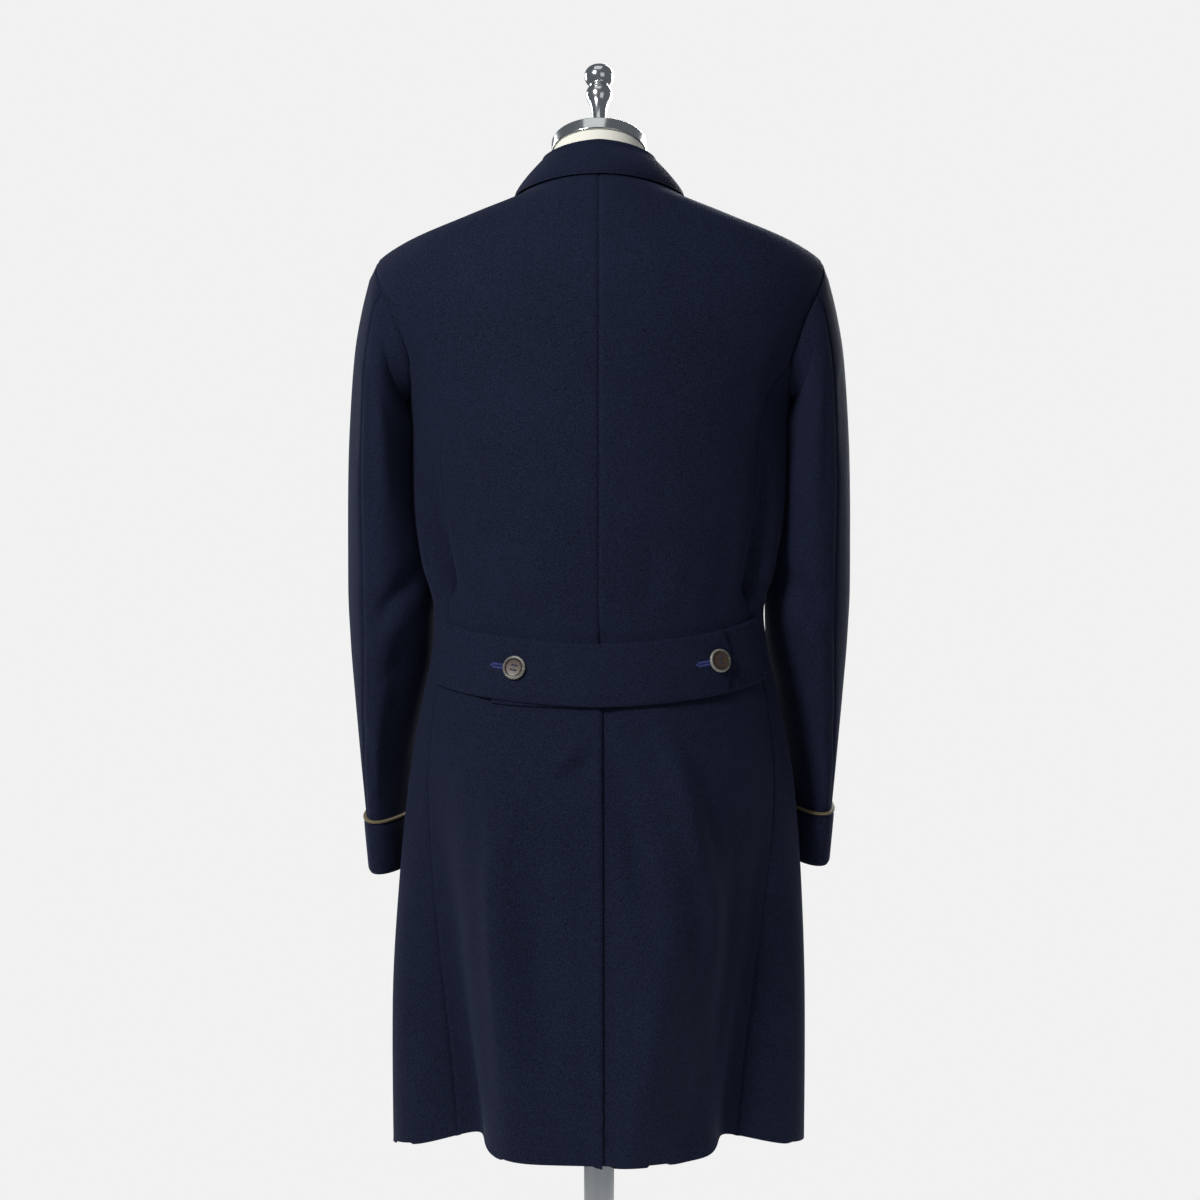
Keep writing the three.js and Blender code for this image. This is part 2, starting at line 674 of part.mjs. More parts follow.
// Sets a button on a surface, its flat back just clear of it.
function setButton(name, surface, u, v, clear) {
  const button = add(name, buttonGeometry(), materials.horn);
  const normal = normalOf(surface, u, v);
  button.position.copy(moved(surface, u, v, clear));
  button.quaternion.setFromUnitVectors(new THREE.Vector3(0, 0, 1), normal);
}
setButton('belt_button_left', overBelt, beltButtons.left, buttonAcross, buttonClear);
setButton('belt_button_right', overBelt, beltButtons.right, buttonAcross, buttonClear);
frontButtonLevels.forEach((level, i) => {
  setButton(`front_button_${i + 1}`, frontSurface.left, 180, level, buttonClear);
});

// ---- Dress form, neck cap, finial, pole and base ----

const formTurns = spread(0, 360, 28).slice(0, -1);
function formRing(side) {
  return formTurns.map((turn) => {
    const [sine, cosine] = [Math.sin(radians(turn)), Math.cos(radians(turn))];
    const coatRing = (column) => read(rings, 'side', column, side);
    const own = (column) => read(formRings, 'side', column, side);
    const onShoulder = side > formRings.at(-1).side;
    const drop = onShoulder ? formShoulders.drop : 0;
    const half = onShoulder ? Math.min(coatRing('left') - formShoulders.side, shoulderEnd) : own('half');
    const deep = (column) => (onShoulder ? coatRing(column) - formShoulders.deep : own(column));
    const end = coatRing(cosine > 0 ? 'back' : 'front');
    return new THREE.Vector3(
      half * sine,
      cosine * deep(cosine > 0 ? 'deepBack' : 'deepFront'),
      side + (end - side) * cosine * cosine - drop,
    );
  });
}
function neckRing({ z, radius, slope }) {
  return formTurns.map((turn) => {
    const y = radius * Math.cos(radians(turn)) * Math.cos(Math.atan(slope));
    return new THREE.Vector3(radius * Math.sin(radians(turn)), y, z + y * slope);
  });
}
const formLevels = [formBottom, 719, 797, 871, 915, 960, 1010, 1060, underarm, 1169, 1207, 1264,
  shoulderTip, 1300, 1312, 1324, 1336, fallLevel, 1358, neckLevel];
add('form_body', lofted([...formLevels.map(formRing), ...neckRings.map(neckRing)]), materials.canvas);

function onNeck(mesh, along) {
  const tilt = radians(neckTilt);
  mesh.rotation.x = tilt;
  mesh.position.set(0, -Math.sin(tilt) * along, neckTop.z + Math.cos(tilt) * along);
}
const capRadius = capWide / 2;
const capRise = 3.4;             // how far the cap's crown rises over its rim
const capProfile = [
  [0, 0], [capRadius - 0.8, 0], [capRadius, 0.8], [capRadius, capTall - 1.2],
  [capRadius - 1.2, capTall], [capRadius * 0.6, capTall + 2.4], [0, capTall + capRise],
];
onNeck(add('neck_cap', turned(capProfile, 32), materials.chrome), seam);
const finialProfile = [
  [0, 0], [11, 0], [11.5, 2.5], [8.4, 6], [7.4, 14], [7.4, 30], [9.6, 44], [13.4, 51], [14.5, 56],
  [13.6, 61], [10.4, 65.5], [10, 68], [13, 71], [15.6, 76], [16, 81], [14.4, 86], [9.6, 90], [0, 91.6],
];
onNeck(add('finial', turned(finialProfile, 16), materials.chrome), seam + capTall + capRise + seam);

const poleRadius = poleWide / 2;
const baseRadius = baseWide / 2;
const baseProfile = [
  [0, 0], [baseRadius - 4, 0], [baseRadius, 3], [baseRadius, 7], [baseRadius - 6, 11],
  [baseRadius * 0.5, 16], [poleRadius + 12, baseTall], [0, baseTall],
];
add('base', turned(baseProfile, 32), materials.chrome);
const poleProfile = [
  [0, baseTall + seam], [poleRadius, baseTall + seam],
  [poleRadius, formBottom - seam], [0, formBottom - seam],
];
add('pole', turned(poleProfile, 20), materials.chrome);

export default overcoat;
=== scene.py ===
# %% [markdown]
# # A wool overcoat with a half belt, on a tailor's dress form
#
# The coat is cut and sewn cloth: two backs with a vent, two fronts, a folded collar, two-piece sleeves with
# turned-back cuffs, and a belt across the back held by two buttons. Each piece here is a thin shell on the
# surface that its solid stands for, with the folds that the cloth makes where it hangs. The fixed frame
# comes first, because every piece takes its place from it, and the camera next.

# %% The fixed frame
import math

import bpy
import numpy as np
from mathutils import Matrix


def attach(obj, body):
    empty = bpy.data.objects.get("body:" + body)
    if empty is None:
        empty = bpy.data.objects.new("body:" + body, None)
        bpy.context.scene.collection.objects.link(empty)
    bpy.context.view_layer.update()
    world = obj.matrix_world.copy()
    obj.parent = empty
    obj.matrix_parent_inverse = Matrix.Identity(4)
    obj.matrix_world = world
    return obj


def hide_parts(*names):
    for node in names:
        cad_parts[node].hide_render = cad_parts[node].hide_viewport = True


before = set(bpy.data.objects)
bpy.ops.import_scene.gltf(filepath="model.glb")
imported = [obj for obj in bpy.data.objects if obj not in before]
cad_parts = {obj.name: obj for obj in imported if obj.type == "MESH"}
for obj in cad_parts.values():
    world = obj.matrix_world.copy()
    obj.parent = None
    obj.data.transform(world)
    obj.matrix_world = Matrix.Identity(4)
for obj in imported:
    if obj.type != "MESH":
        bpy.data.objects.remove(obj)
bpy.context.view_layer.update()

# %% [markdown]
# The camera looks straight at the back of the coat from standing distance, level with the belt. A long lens
# keeps the sides of the coat nearly parallel.

# %% The camera
camera_distance = 2.9
camera_height = 0.92
view_width = 1.284
camera_data = bpy.data.cameras.new("camera")
camera_data.sensor_width = 36
camera_data.lens = camera_data.sensor_width * camera_distance / view_width
camera = bpy.data.objects.new("camera", camera_data)
camera.location = (-0.001, camera_distance, camera_height)
camera.rotation_euler = (math.radians(90), 0, math.radians(180))
bpy.context.scene.collection.objects.link(camera)
bpy.context.scene.camera = camera
print("lens", round(camera_data.lens, 1), "mm")

# %% [markdown]
# The studio is a pale, even surround with soft lamps: the key at the upper left of the camera, a weak fill
# at its right, one above, and large ones for the front and the sides. Navy wool swallows light, so the
# lamps do most of the lighting and the room gives back less than its walls show: that keeps the folds'
# shadows in the cloth.

# %% Floor, surround and lamps
mm = 0.001


def linear(hex_colour):
    """An sRGB hex colour as the linear red, green, blue and alpha that shaders take."""
    parts = [int(hex_colour[i : i + 2], 16) / 255 for i in (1, 3, 5)]
    return tuple(c / 12.92 if c <= 0.04045 else ((c + 0.055) / 1.055) ** 2.4 for c in parts) + (1.0,)


def add_node(tree, kind, settings=None, **inputs):
    """Adds a node, sets its own settings, and sets or links its inputs by name (spaces as underscores)."""
    node = tree.nodes.new(kind)
    for name, value in (settings or {}).items():
        setattr(node, name, value)
    for name, value in inputs.items():
        key = int(name[3:]) if name.startswith("at_") else name.replace("_", " ")
        socket = node.inputs[key]
        if isinstance(value, bpy.types.NodeSocket):
            tree.links.new(value, socket)
        else:
            socket.default_value = value
    return node


def new_material(name):
    """An empty material with an output, and its node tree."""
    material = bpy.data.materials.new(name)
    material.use_nodes = True
    material.node_tree.nodes.clear()
    return material, material.node_tree


def finish_material(tree, shader):
    """Links the shader to the material's output."""
    add_node(tree, "ShaderNodeOutputMaterial", Surface=shader.outputs[0])


def scaled(tree, value, by, plus):
    """A value times one number or value, plus another."""
    node = add_node(tree, "ShaderNodeMath", {"operation": "MULTIPLY_ADD"}, at_0=value, at_1=by, at_2=plus)
    return node.outputs[0]


def tones(tree, value, low, high, between=None):
    """A colour ramp over a value; each tone is its place on the ramp and its hex colour."""
    ramp = add_node(tree, "ShaderNodeValToRGB", Fac=value)
    elements = ramp.color_ramp.elements
    for element, (place, colour) in zip(elements, (low, high)):
        element.position, element.color = place, linear(colour)
    if between:
        elements.new(between[0]).color = linear(between[1])
    return ramp.outputs[0]


surround, bounce = "#f1f1f1", "#ccd2dc"
world = bpy.data.worlds.new("surround")
world.use_nodes = True
tree = world.node_tree
tree.nodes.clear()
seen = add_node(tree, "ShaderNodeLightPath")
wall = add_node(tree, "ShaderNodeBackground", Color=linear(surround), Strength=1.0)
room = add_node(tree, "ShaderNodeBackground", Color=linear(bounce), Strength=0.2)
both = add_node(
    tree,
    "ShaderNodeMixShader",
    at_0=seen.outputs["Is Camera Ray"],
    at_1=room.outputs[0],
    at_2=wall.outputs[0],
)
add_node(tree, "ShaderNodeOutputWorld", Surface=both.outputs[0])
bpy.context.scene.world = world
bpy.context.scene.view_settings.view_transform = "Standard"

floor_radius, floor_sides = 1.25, 96
floor_colour, floor_glow = "#ededeb", 0.42
floor_corners = [
    (floor_radius * math.cos(a), floor_radius * math.sin(a), 0.0)
    for a in np.linspace(0, 2 * math.pi, floor_sides, endpoint=False)
]
floor_mesh = bpy.data.meshes.new("floor")
floor_mesh.from_pydata(floor_corners, [], [tuple(range(floor_sides))])
floor = bpy.data.objects.new("floor", floor_mesh)
bpy.context.scene.collection.objects.link(floor)
floor_material, tree = new_material("pale floor")
paint = add_node(tree, "ShaderNodeBsdfPrincipled", Base_Color=linear(floor_colour), Roughness=0.8)
paint.inputs["Emission Color"].default_value = linear(floor_colour)
paint.inputs["Emission Strength"].default_value = floor_glow
finish_material(tree, paint)
floor_mesh.materials.append(floor_material)


def lamp(name, place, aim, size, watts):
    """A soft square lamp that faces a point."""
    data = bpy.data.lights.new(name, "AREA")
    data.shape = "SQUARE"
    data.size = size
    data.energy = watts
    lamp_object = bpy.data.objects.new(name, data)
    lamp_object.location = place
    direction = np.array(aim, float) - np.array(place, float)
    flat = math.hypot(direction[0], direction[1])
    lamp_object.rotation_euler = (
        math.pi / 2 + math.atan2(direction[2], flat),
        0,
        math.atan2(direction[1], direction[0]) - math.pi / 2,
    )
    lamp_object.visible_camera = False
    bpy.context.scene.collection.objects.link(lamp_object)


lamp("key", (1.15, 1.5, 2.05), (0, 0, 1.15), 0.5, 37)
lamp("fill", (-1.3, 2.7, 1.2), (0, 0, 0.9), 1.6, 4.5)
lamp("top", (0.2, 0.6, 3.0), (0, 0, 1.2), 1.4, 4)
lamp("front", (-0.9, -2.8, 2.0), (0, 0, 1.0), 1.5, 105)
lamp("left side", (2.3, -2.1, 1.7), (0, 0, 1.0), 1.2, 32)
lamp("right side", (-2.3, -2.1, 1.7), (0, 0, 1.0), 1.2, 26)

# %% [markdown]
# ## The coat's surface
#
# A tailor shapes a coat round the body in rings: hem, hips, waist, chest, shoulders, neck. The table below
# gives each ring's heights, half widths and depths in millimetres, and every cloth piece is a part of the
# surface that runs smoothly through them. The solids were made from the same surface, so each piece fits
# its solid.

# %% Tables and the rings of the coat
hem_level, underarm, shoulder_tip, neck_level, fall_level = 350, 1131, 1283, 1368, 1348
vent_top, vent_sink_top, vent_sink_fades, underlap = 850, 872, 33, 13.2
lapel_break, fronts_part, lapel_top, lapel_wide, gorge_drop = 1110, 1226, 1336, 95, 54
lapel_rest, lap_gap_x, roll_at_neck, front_lap = 1.6, 3, 36, 8.6
armhole_open_back, armhole_open_front = 30, 33
cloth, lap_clear, layer, seam = 2.0, 0.9, 0.5, 0.55
fold_radius = 165


def table(columns, rows):
    """A table with named columns and a row for each section; it is read by its first column."""
    return dict(zip(columns.split(), np.array(rows, float).T))


rings = table(
    "side back front left right deep_back deep_front",
    [
        [hem_level, 350, 350, 215, 215, 170, 150],
        [492, 492, 492, 214, 214, 161, 146],
        [631, 631, 631, 209, 212, 150, 140],
        [719, 719, 719, 203, 208, 138, 133],
        [797, 797, 797, 192, 196, 124, 127],
        [871, 871, 871, 178, 180, 111, 120],
        [905, 905, 905, 176, 176, 108, 118],
        [960, 960, 960, 187, 186, 112, 121],
        [1030, 1030, 1030, 197, 197, 121, 127],
        [underarm, 1131, 1131, 203, 205, 131, 134],
        [1169, 1166, 1163, 222, 224, 132, 133],
        [1207, 1202, 1196, 244, 246, 130, 129],
        [1245, 1240, 1224, 254, 256, 126, 121],
        [1264, 1264, 1240, 250, 252, 122, 116],
        [shoulder_tip, 1290, 1256, 234, 236, 116, 110],
        [1300, 1318, 1275, 208, 210, 106, 101],
        [1324, 1342, 1293, 150, 151, 95, 88],
        [fall_level, 1362, 1308, 90, 91, 80, 73],
        [neck_level, 1378, 1320, 65, 65, 58, 58],
    ],
)
side_back_seam = table(
    "level turn",
    [
        [hem_level, 54], [518, 59], [650, 63], [797, 66], [870, 67], [930, 62], [1030, 57], [1095, 56],
        [underarm, 58], [1169, 64.02],
    ],
)


def read(rows, column, at):
    """A column's value at places along a table: a smooth curve through its rows, with no overshoot."""
    keys, values = rows[next(iter(rows))], rows[column]
    at = np.clip(at, keys[0], keys[-1])
    i = np.clip(np.searchsorted(keys, at, side="right") - 1, 0, len(keys) - 2)
    rise = np.diff(values) / np.diff(keys)
    before, after = rise[:-1], rise[1:]
    same_way = before * after > 0
    slopes = np.concatenate([rise[:1], np.where(same_way, 2 * before * after, 0), rise[-1:]])
    slopes[1:-1] /= np.where(same_way, before + after, 1)
    length = keys[i + 1] - keys[i]
    t = (at - keys[i]) / length
    start = values[i] * (1 + 2 * t) * (1 - t) ** 2 + slopes[i] * length * t * (1 - t) ** 2
    return start + values[i + 1] * t * t * (3 - 2 * t) - slopes[i + 1] * length * t * t * (1 - t)


def ease(t):
    """Goes smoothly from 0 to 1 as t does."""
    t = np.clip(t, 0, 1)
    return t * t * (3 - 2 * t)


def lerp(a, b, t):
    """The value t of the way from a to b."""
    return a + (b - a) * t


def points(x, y, z):
    """One array of points from their three coordinates."""
    return np.stack(np.broadcast_arrays(x, y, z), axis=-1).astype(float)


def unit(vectors):
    """Vectors brought to length 1."""
    return vectors / np.maximum(np.linalg.norm(vectors, axis=-1, keepdims=True), 1e-9)


class Surface:
    """A surface as a function from two numbers to a point, with a function for a point inside it."""

    def __init__(self, at, core, du, dv, normal=None):
        self.at, self.core, self.du, self.dv, self.own_normal = at, core, du, dv, normal

    def plain_normal(self, u, v):
        """The outward normal, from the surface's slope both ways."""
        along_u = self.at(u + self.du, v) - self.at(u - self.du, v)
        along_v = self.at(u, v + self.dv) - self.at(u, v - self.dv)
        normal = unit(np.cross(along_u, along_v))
        out = self.at(u, v) - self.core(u, v)
        return np.where((normal * out).sum(-1, keepdims=True) < 0, -normal, normal)

    def normal(self, u, v):
        """The normal, or the surface's own rule for it."""
        return self.own_normal(u, v) if self.own_normal else self.plain_normal(u, v)

    def moved(self, u, v, out):
        """Points of the surface, moved out along its normal."""
        return self.at(u, v) + self.normal(u, v) * np.asarray(out)[..., None]


def plain_coat_at(turn, level):
    """The coat without folds: turn is 0 degrees at the centre back, 90 at the left side, 180 in front."""
    sine, cosine = np.sin(np.radians(turn)), np.cos(np.radians(turn))
    side = np.clip(level, hem_level, neck_level)
    end = np.where(cosine > 0, read(rings, "back", level), read(rings, "front", level))
    half = np.where(sine > 0, read(rings, "left", level), read(rings, "right", level))
    deep = np.where(cosine > 0, read(rings, "deep_back", level), read(rings, "deep_front", level))
    return points(sine * half, cosine * deep, side + (end - side) * cosine**2)


def coat_core(turn, level):
    """A point well inside the coat, a little below each ring's middle."""
    return points(0 * turn, 0 * turn, np.clip(level, hem_level, neck_level) - 40)


plain_coat = Surface(plain_coat_at, coat_core, 0.5, 1)
print("rings:", len(rings["side"]), "from", hem_level, "to", neck_level, "mm")

# %% [markdown]
# ## The folds
#
# Cloth that hangs from a belted waist falls in long soft folds, deepest at the hem, and the cloth above the
# belt is drawn in with a few short ones. Each fold is a row: the levels where it starts and is full, the
# length over which it fades past that, where it runs in degrees, half its width and how far it stands out,
# or in where negative. The first table has the large folds that the solids have too, and the second the
# smaller ones that only this finer surface shows. Drags are the short slanting folds where the cloth pulls.

# %% Folds and the drawn-up hem
folds = table(
    "start full tail turn_start turn_full wide deep",
    [
        [822, hem_level, 400, 62, 47, 36, -50],
        [822, hem_level, 400, -62, -49, 36, -48],
        [815, 420, 500, 28, 19, 30, 7],
        [812, 620, 600, -26, -17, 26, 9],
        [800, 480, 500, 84, 79, 30, 8],
        [800, 500, 500, -84, -80, 30, 7],
        [800, hem_level, 400, 134, 140, 34, -16],
        [800, hem_level, 400, -132, -138, 34, -18],
        [1150, 940, 30, 70, 73, 18, 6],
        [1150, 940, 30, 60, 59, 14, -5],
        [1140, 945, 30, -73, -75, 18, 7],
        [1120, 940, 30, -57, -61, 14, -5],
    ],
)
creases = table(
    "start full tail turn_start turn_full wide deep",
    [
        [800, 700, 220, -3, -8, 11, -7],
        [800, 690, 160, 14, 26, 9, 1.8],
        [812, 600, 260, -35, -31, 15, -3.2],
        [806, 660, 200, -8, -9, 12, 1.6],
        [812, 560, 250, 44, 40, 16, 2.4],
        [1010, 925, 25, -28, -24, 16, 1.8],
        [1000, 925, 25, -16, -17, 11, -1.6],
        [990, 925, 25, 20, 22, 14, 1.5],
        [1030, 925, 25, 38, 41, 15, -1.8],
        [1050, 925, 25, -43, -46, 15, -2.0],
        [1215, 1150, 70, 47, 53, 15, 2.2],
        [1215, 1140, 70, -46, -53, 15, 2.4],
        [800, 520, 160, 100, 106, 26, 5],
        [800, 500, 160, -101, -108, 26, 5],
        [800, 560, 190, 158, 163, 18, 3],
        [800, 600, 190, -156, -160, 18, 3],
        [830, 690, 200, -17, -27, 13, 11],
        [700, 450, 200, -27, -14, 18, 14],
        [800, 500, 200, -46, -40, 18, -13],
        [560, 380, 200, -36, -28, 16, -10],
        [800, 560, 260, 34, 29, 14, 11],
        [790, 540, 260, 22, 17, 16, -9],
        [1130, 935, 25, 64, 61, 12, -9],
        [1130, 935, 25, -61, -63, 12, -9],
        [1125, 1000, 90, 90, 90, 30, 4.5],
        [1125, 1000, 90, -90, -90, 30, 4.5],
        [1090, 980, 60, 118, 122, 22, -3],
        [1090, 980, 60, -116, -121, 22, -3],
    ],
)
hem_lifts = table("turn wide lift", [[47, 14, 20], [-49, 14, 17], [139, 16, 6], [-137, 16, 7]])
hem_lift_fades = 160


def fold_depth(rows, turn, level):
    """How far the folds of a table move the cloth out at each place."""
    depth = np.zeros(np.broadcast(turn, level).shape)
    for start, full, tail, turn_start, turn_full, wide, deep in zip(*rows.values()):
        along = (level - start) / (full - start)
        past = np.abs(level - full) / tail
        strength = np.where(along < 1, ease(along), 1 - ease(past))
        across = np.radians(turn - lerp(turn_start, turn_full, along)) * fold_radius
        depth += np.where(along > 0, deep * strength * np.exp(-((across / wide) ** 2)), 0)
    return depth


def hem_lift(turn, level):
    """How far the hem, and the cloth just above it, is drawn up."""
    fade = np.clip(1 - (level - hem_level) / hem_lift_fades, 0, 1) ** 2
    lifts = [lift * np.exp(-(((turn - at) / wide) ** 2)) for at, wide, lift in zip(*hem_lifts.values())]
    return fade * sum(lifts)


drags = table(
    "turn level turn_end level_end wide deep",
    [
        [1.5, 775, 17, 744, 7, 5.5],
        [0.5, 758, 14, 732, 8, -4.5],
        [-38, 800, -22, 770, 9, 1.6],
        [44, 802, 33, 776, 9, 1.4],
        [-74, 905, -58, 935, 9, 1.8],
        [72, 905, 58, 930, 9, 1.8],
    ],
)


def drag_depth(turn, level):
    """How far the slanting drag folds move the cloth out."""
    depth = np.zeros(np.broadcast(turn, level).shape)
    for turn_start, level_start, turn_end, level_end, wide, deep in zip(*drags.values()):
        run = np.array([math.radians(turn_end - turn_start) * fold_radius, level_end - level_start])
        x, y = np.radians(turn - turn_start) * fold_radius, level - level_start
        length = np.linalg.norm(run)
        along, across = (x * run[0] + y * run[1]) / length**2, (x * run[1] - y * run[0]) / length
        strength = ease(along * 3) * ease((1 - along) * 2)
        depth += deep * strength * np.exp(-((across / wide) ** 2))
    return depth


def around(turn):
    """A turn brought between -180 and 180 degrees."""
    return (turn + 180) % 360 - 180


def coat(sink=lambda turn, level: 0 * turn):
    """The coat with its folds. sink moves a layer in where it runs beneath another one."""

    def at(turn, level):
        out = fold_depth(folds, around(turn), level) + fold_depth(creases, around(turn), level)
        out = out + drag_depth(around(turn), level)
        place = plain_coat.moved(turn, level, out - sink(turn, level))
        place[..., 2] += hem_lift(around(turn), level)
        return place

    return Surface(at, coat_core, 0.3, 1)


print("folds:", len(folds["deep"]), "large,", len(creases["deep"]), "small,", len(drags["deep"]), "slanting")

# %% [markdown]
# ## Cutting a piece and giving it a wall
#
# A piece is one or more patches: grids of places on the surface, closer together along the edges. The shell
# gets its two faces and its edges from one function. Where a piece is sewn to its neighbour its edge is
# turned in, and the cloth rounds down into the seam: that soft little valley is what shows a seam in thick
# dark wool. Each piece keeps its own UV map in metres along and across the grain, so the weave has one
# scale on all.

# %% The shell builder
grid_step = 5.0
edge_steps = np.array([0, 0.7, 1.5, 2.6, 4.2])
seam_deep, seam_wide = 1.6, 2.0
sharp_from = 62


def fractions(length, edges=(True, True), step=grid_step):
    """Places from 0 to 1 along a length in mm, about a step apart, with closer ones at turned-in edges."""
    low = edge_steps if edges[0] else np.array([0.0])
    high = edge_steps if edges[1] else np.array([0.0])
    count = max(2, int(round((length - low[-1] - high[-1]) / step)))
    middle = np.linspace(low[-1], length - high[-1], count + 1)[1:-1]
    return np.concatenate([low, middle, (length - high)[::-1]]) / length


def turned_in(fraction, width, edges):
    """How far the cloth rounds down towards its turned-in edges, in mm."""
    near = np.where(edges[0], np.exp(-((fraction * width / seam_wide) ** 2)), 0)
    far = np.where(edges[1], np.exp(-(((1 - fraction) * width / seam_wide) ** 2)), 0)
    return seam_deep * np.maximum(near, far)


def patch(surface, across, levels, width, edges=(True, True), ends=(False, False), shares=None):
    """A grid of (u, v) places between two edges, with the sink at its turned-in edges and its UV in metres.
    across(v) gives the two edges' u; levels are the v values; width is about the patch's width in mm."""
    share = fractions(width, edges) if shares is None else shares
    low, high = (np.asarray(edge, float) for edge in across(levels))
    u = low[:, None] + (high - low)[:, None] * share[None, :]
    v = np.broadcast_to(levels[:, None], u.shape)
    place = surface.at(u, v)
    steps = np.linalg.norm(np.diff(place, axis=1), axis=-1)
    x = np.concatenate([np.zeros((len(levels), 1)), np.cumsum(steps, axis=1)], axis=1)
    way = 1 if (high - low).sum() > 0 else -1
    rows = np.linalg.norm(np.diff(place[:, 0], axis=0), axis=-1)
    y = np.concatenate([[0], np.cumsum(rows)])
    sink = turned_in(x / np.maximum(x[:, -1:], 1), x[:, -1:], edges)
    length = y[-1]
    sink = np.maximum(sink, turned_in(y[:, None] / length, length, ends) * np.ones_like(x))
    return {"u": u, "v": v, "sink": sink, "x": way * x, "y": y[:, None] * np.ones_like(x)}


def graded(stops, step):
    """Levels from stop to stop, about a step apart."""
    counts = [max(1, int(round(abs(b - a) / step))) for a, b in zip(stops, stops[1:])]
    parts = [np.linspace(a, b, count + 1)[:-1] for a, b, count in zip(stops, stops[1:], counts)]
    return np.concatenate(parts + [[stops[-1]]])


def make_mesh(name, corners, faces, uvs, material):
    """A smooth-shaded mesh object from corners in mm, with a UV map in metres."""
    mesh = bpy.data.meshes.new(name)
    mesh.from_pydata((np.asarray(corners) * mm).tolist(), [], faces)
    if uvs is not None:
        uv_map = mesh.uv_layers.new(name="grain")
        loops = np.empty(len(mesh.loops), dtype=np.int32)
        mesh.loops.foreach_get("vertex_index", loops)
        uv_map.data.foreach_set("uv", (np.asarray(uvs)[loops] * mm).astype(np.float32).ravel())
    mesh.materials.append(material)
    mesh.shade_smooth()
    mesh.set_sharp_from_angle(angle=math.radians(sharp_from))
    mesh.validate()
    piece = bpy.data.objects.new(name, mesh)
    bpy.context.scene.collection.objects.link(piece)
    return piece


def shell(name, surface, patches, material, wall=cloth, lift=0.0, grain=1):
    """A closed wall over the patches: the outer face on the surface, moved out by lift, and the inner one
    below it. Places that patches share become one corner. grain is -1 where u runs against the cloth."""
    keys = ("u", "v", "sink", "x", "y")
    u, v, sink, x, y = (np.concatenate([p[key].ravel() for p in patches]) for key in keys)
    uvs = np.stack([x, y], axis=-1) * [grain, 1]
    _, first, known = np.unique(np.round(np.stack([u, v]), 3), axis=1, return_index=True, return_inverse=True)
    known = known.ravel()
    u, v, sink, uvs = u[first], v[first], sink[first], uvs[first]
    place, normal = surface.at(u, v), surface.normal(u, v)
    outer = place + normal * (lift - sink)[:, None]
    inner = place + normal * (lift - wall - np.minimum(sink, wall / 4))[:, None]
    faces, start = [], 0
    for p in patches:
        ids = known[start : start + p["u"].size].reshape(p["u"].shape)
        start += p["u"].size
        quads = np.stack([ids[:-1, :-1], ids[:-1, 1:], ids[1:, 1:], ids[1:, :-1]], axis=-1).reshape(-1, 4)
        faces += [[a for i, a in enumerate(q) if a != q[i - 1]] for q in quads.tolist()]
    faces = [f for f in faces if len(f) > 2 and len(set(f)) == len(f)]
    a, b, c = np.array([f[:3] for f in faces]).T
    across = np.cross(outer[b] - outer[a], outer[c] - outer[a])
    if (across * normal[a]).sum() < 0:
        faces = [f[::-1] for f in faces]
    edges = {}
    for face in faces:
        for a, b in zip(face, face[1:] + face[:1]):
            if edges.pop((b, a), None) is None:
                edges[(a, b)] = True
    count = len(outer)
    back = [[a + count for a in reversed(face)] for face in faces]
    sides = [[b, a, a + count, b + count] for a, b in edges]
    corners, maps = np.vstack([outer, inner]), np.vstack([uvs, uvs])
    return make_mesh(f"{name}_cloth", corners, faces + back + sides, maps, material)


def net_area(surface, patches):
    """The area of a piece's outer face in square metres, worked out from its grid."""
    total = 0.0
    for p in patches:
        place = surface.at(p["u"], p["v"])
        one = np.cross(place[:-1, 1:] - place[:-1, :-1], place[1:, :-1] - place[:-1, :-1])
        two = np.cross(place[1:, :-1] - place[1:, 1:], place[:-1, 1:] - place[1:, 1:])
        total += (np.linalg.norm(one, axis=-1) + np.linalg.norm(two, axis=-1)).sum() / 2
    return total * mm * mm


def dress(piece, slot_name, *nodes):
    """Every piece rides on the one body and stands for its solids, which it hides; slot_name is not used."""
    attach(piece, "root")
    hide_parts(*nodes)
    return piece


# %% [markdown]
# ## Navy overcoating
#
# The cloth is a worsted wool overcoating: a close twill, lightly milled, so the diagonal is almost closed
# by a short nap. To the eye that is a very dark blue with a dry, slightly paler bloom where the surface
# turns away, and a fine grain from blue fibres of uneven depth. The twill's ridges are 0.9 mm apart on the
# real cloth; they are drawn at 2 mm, as coarse as they need to be to show at this distance.

# %% Navy wool
twill_pitch, grain_size = 2.0, 1.3
wave_scale = 0.314  # one band of a wave texture is one unit wide


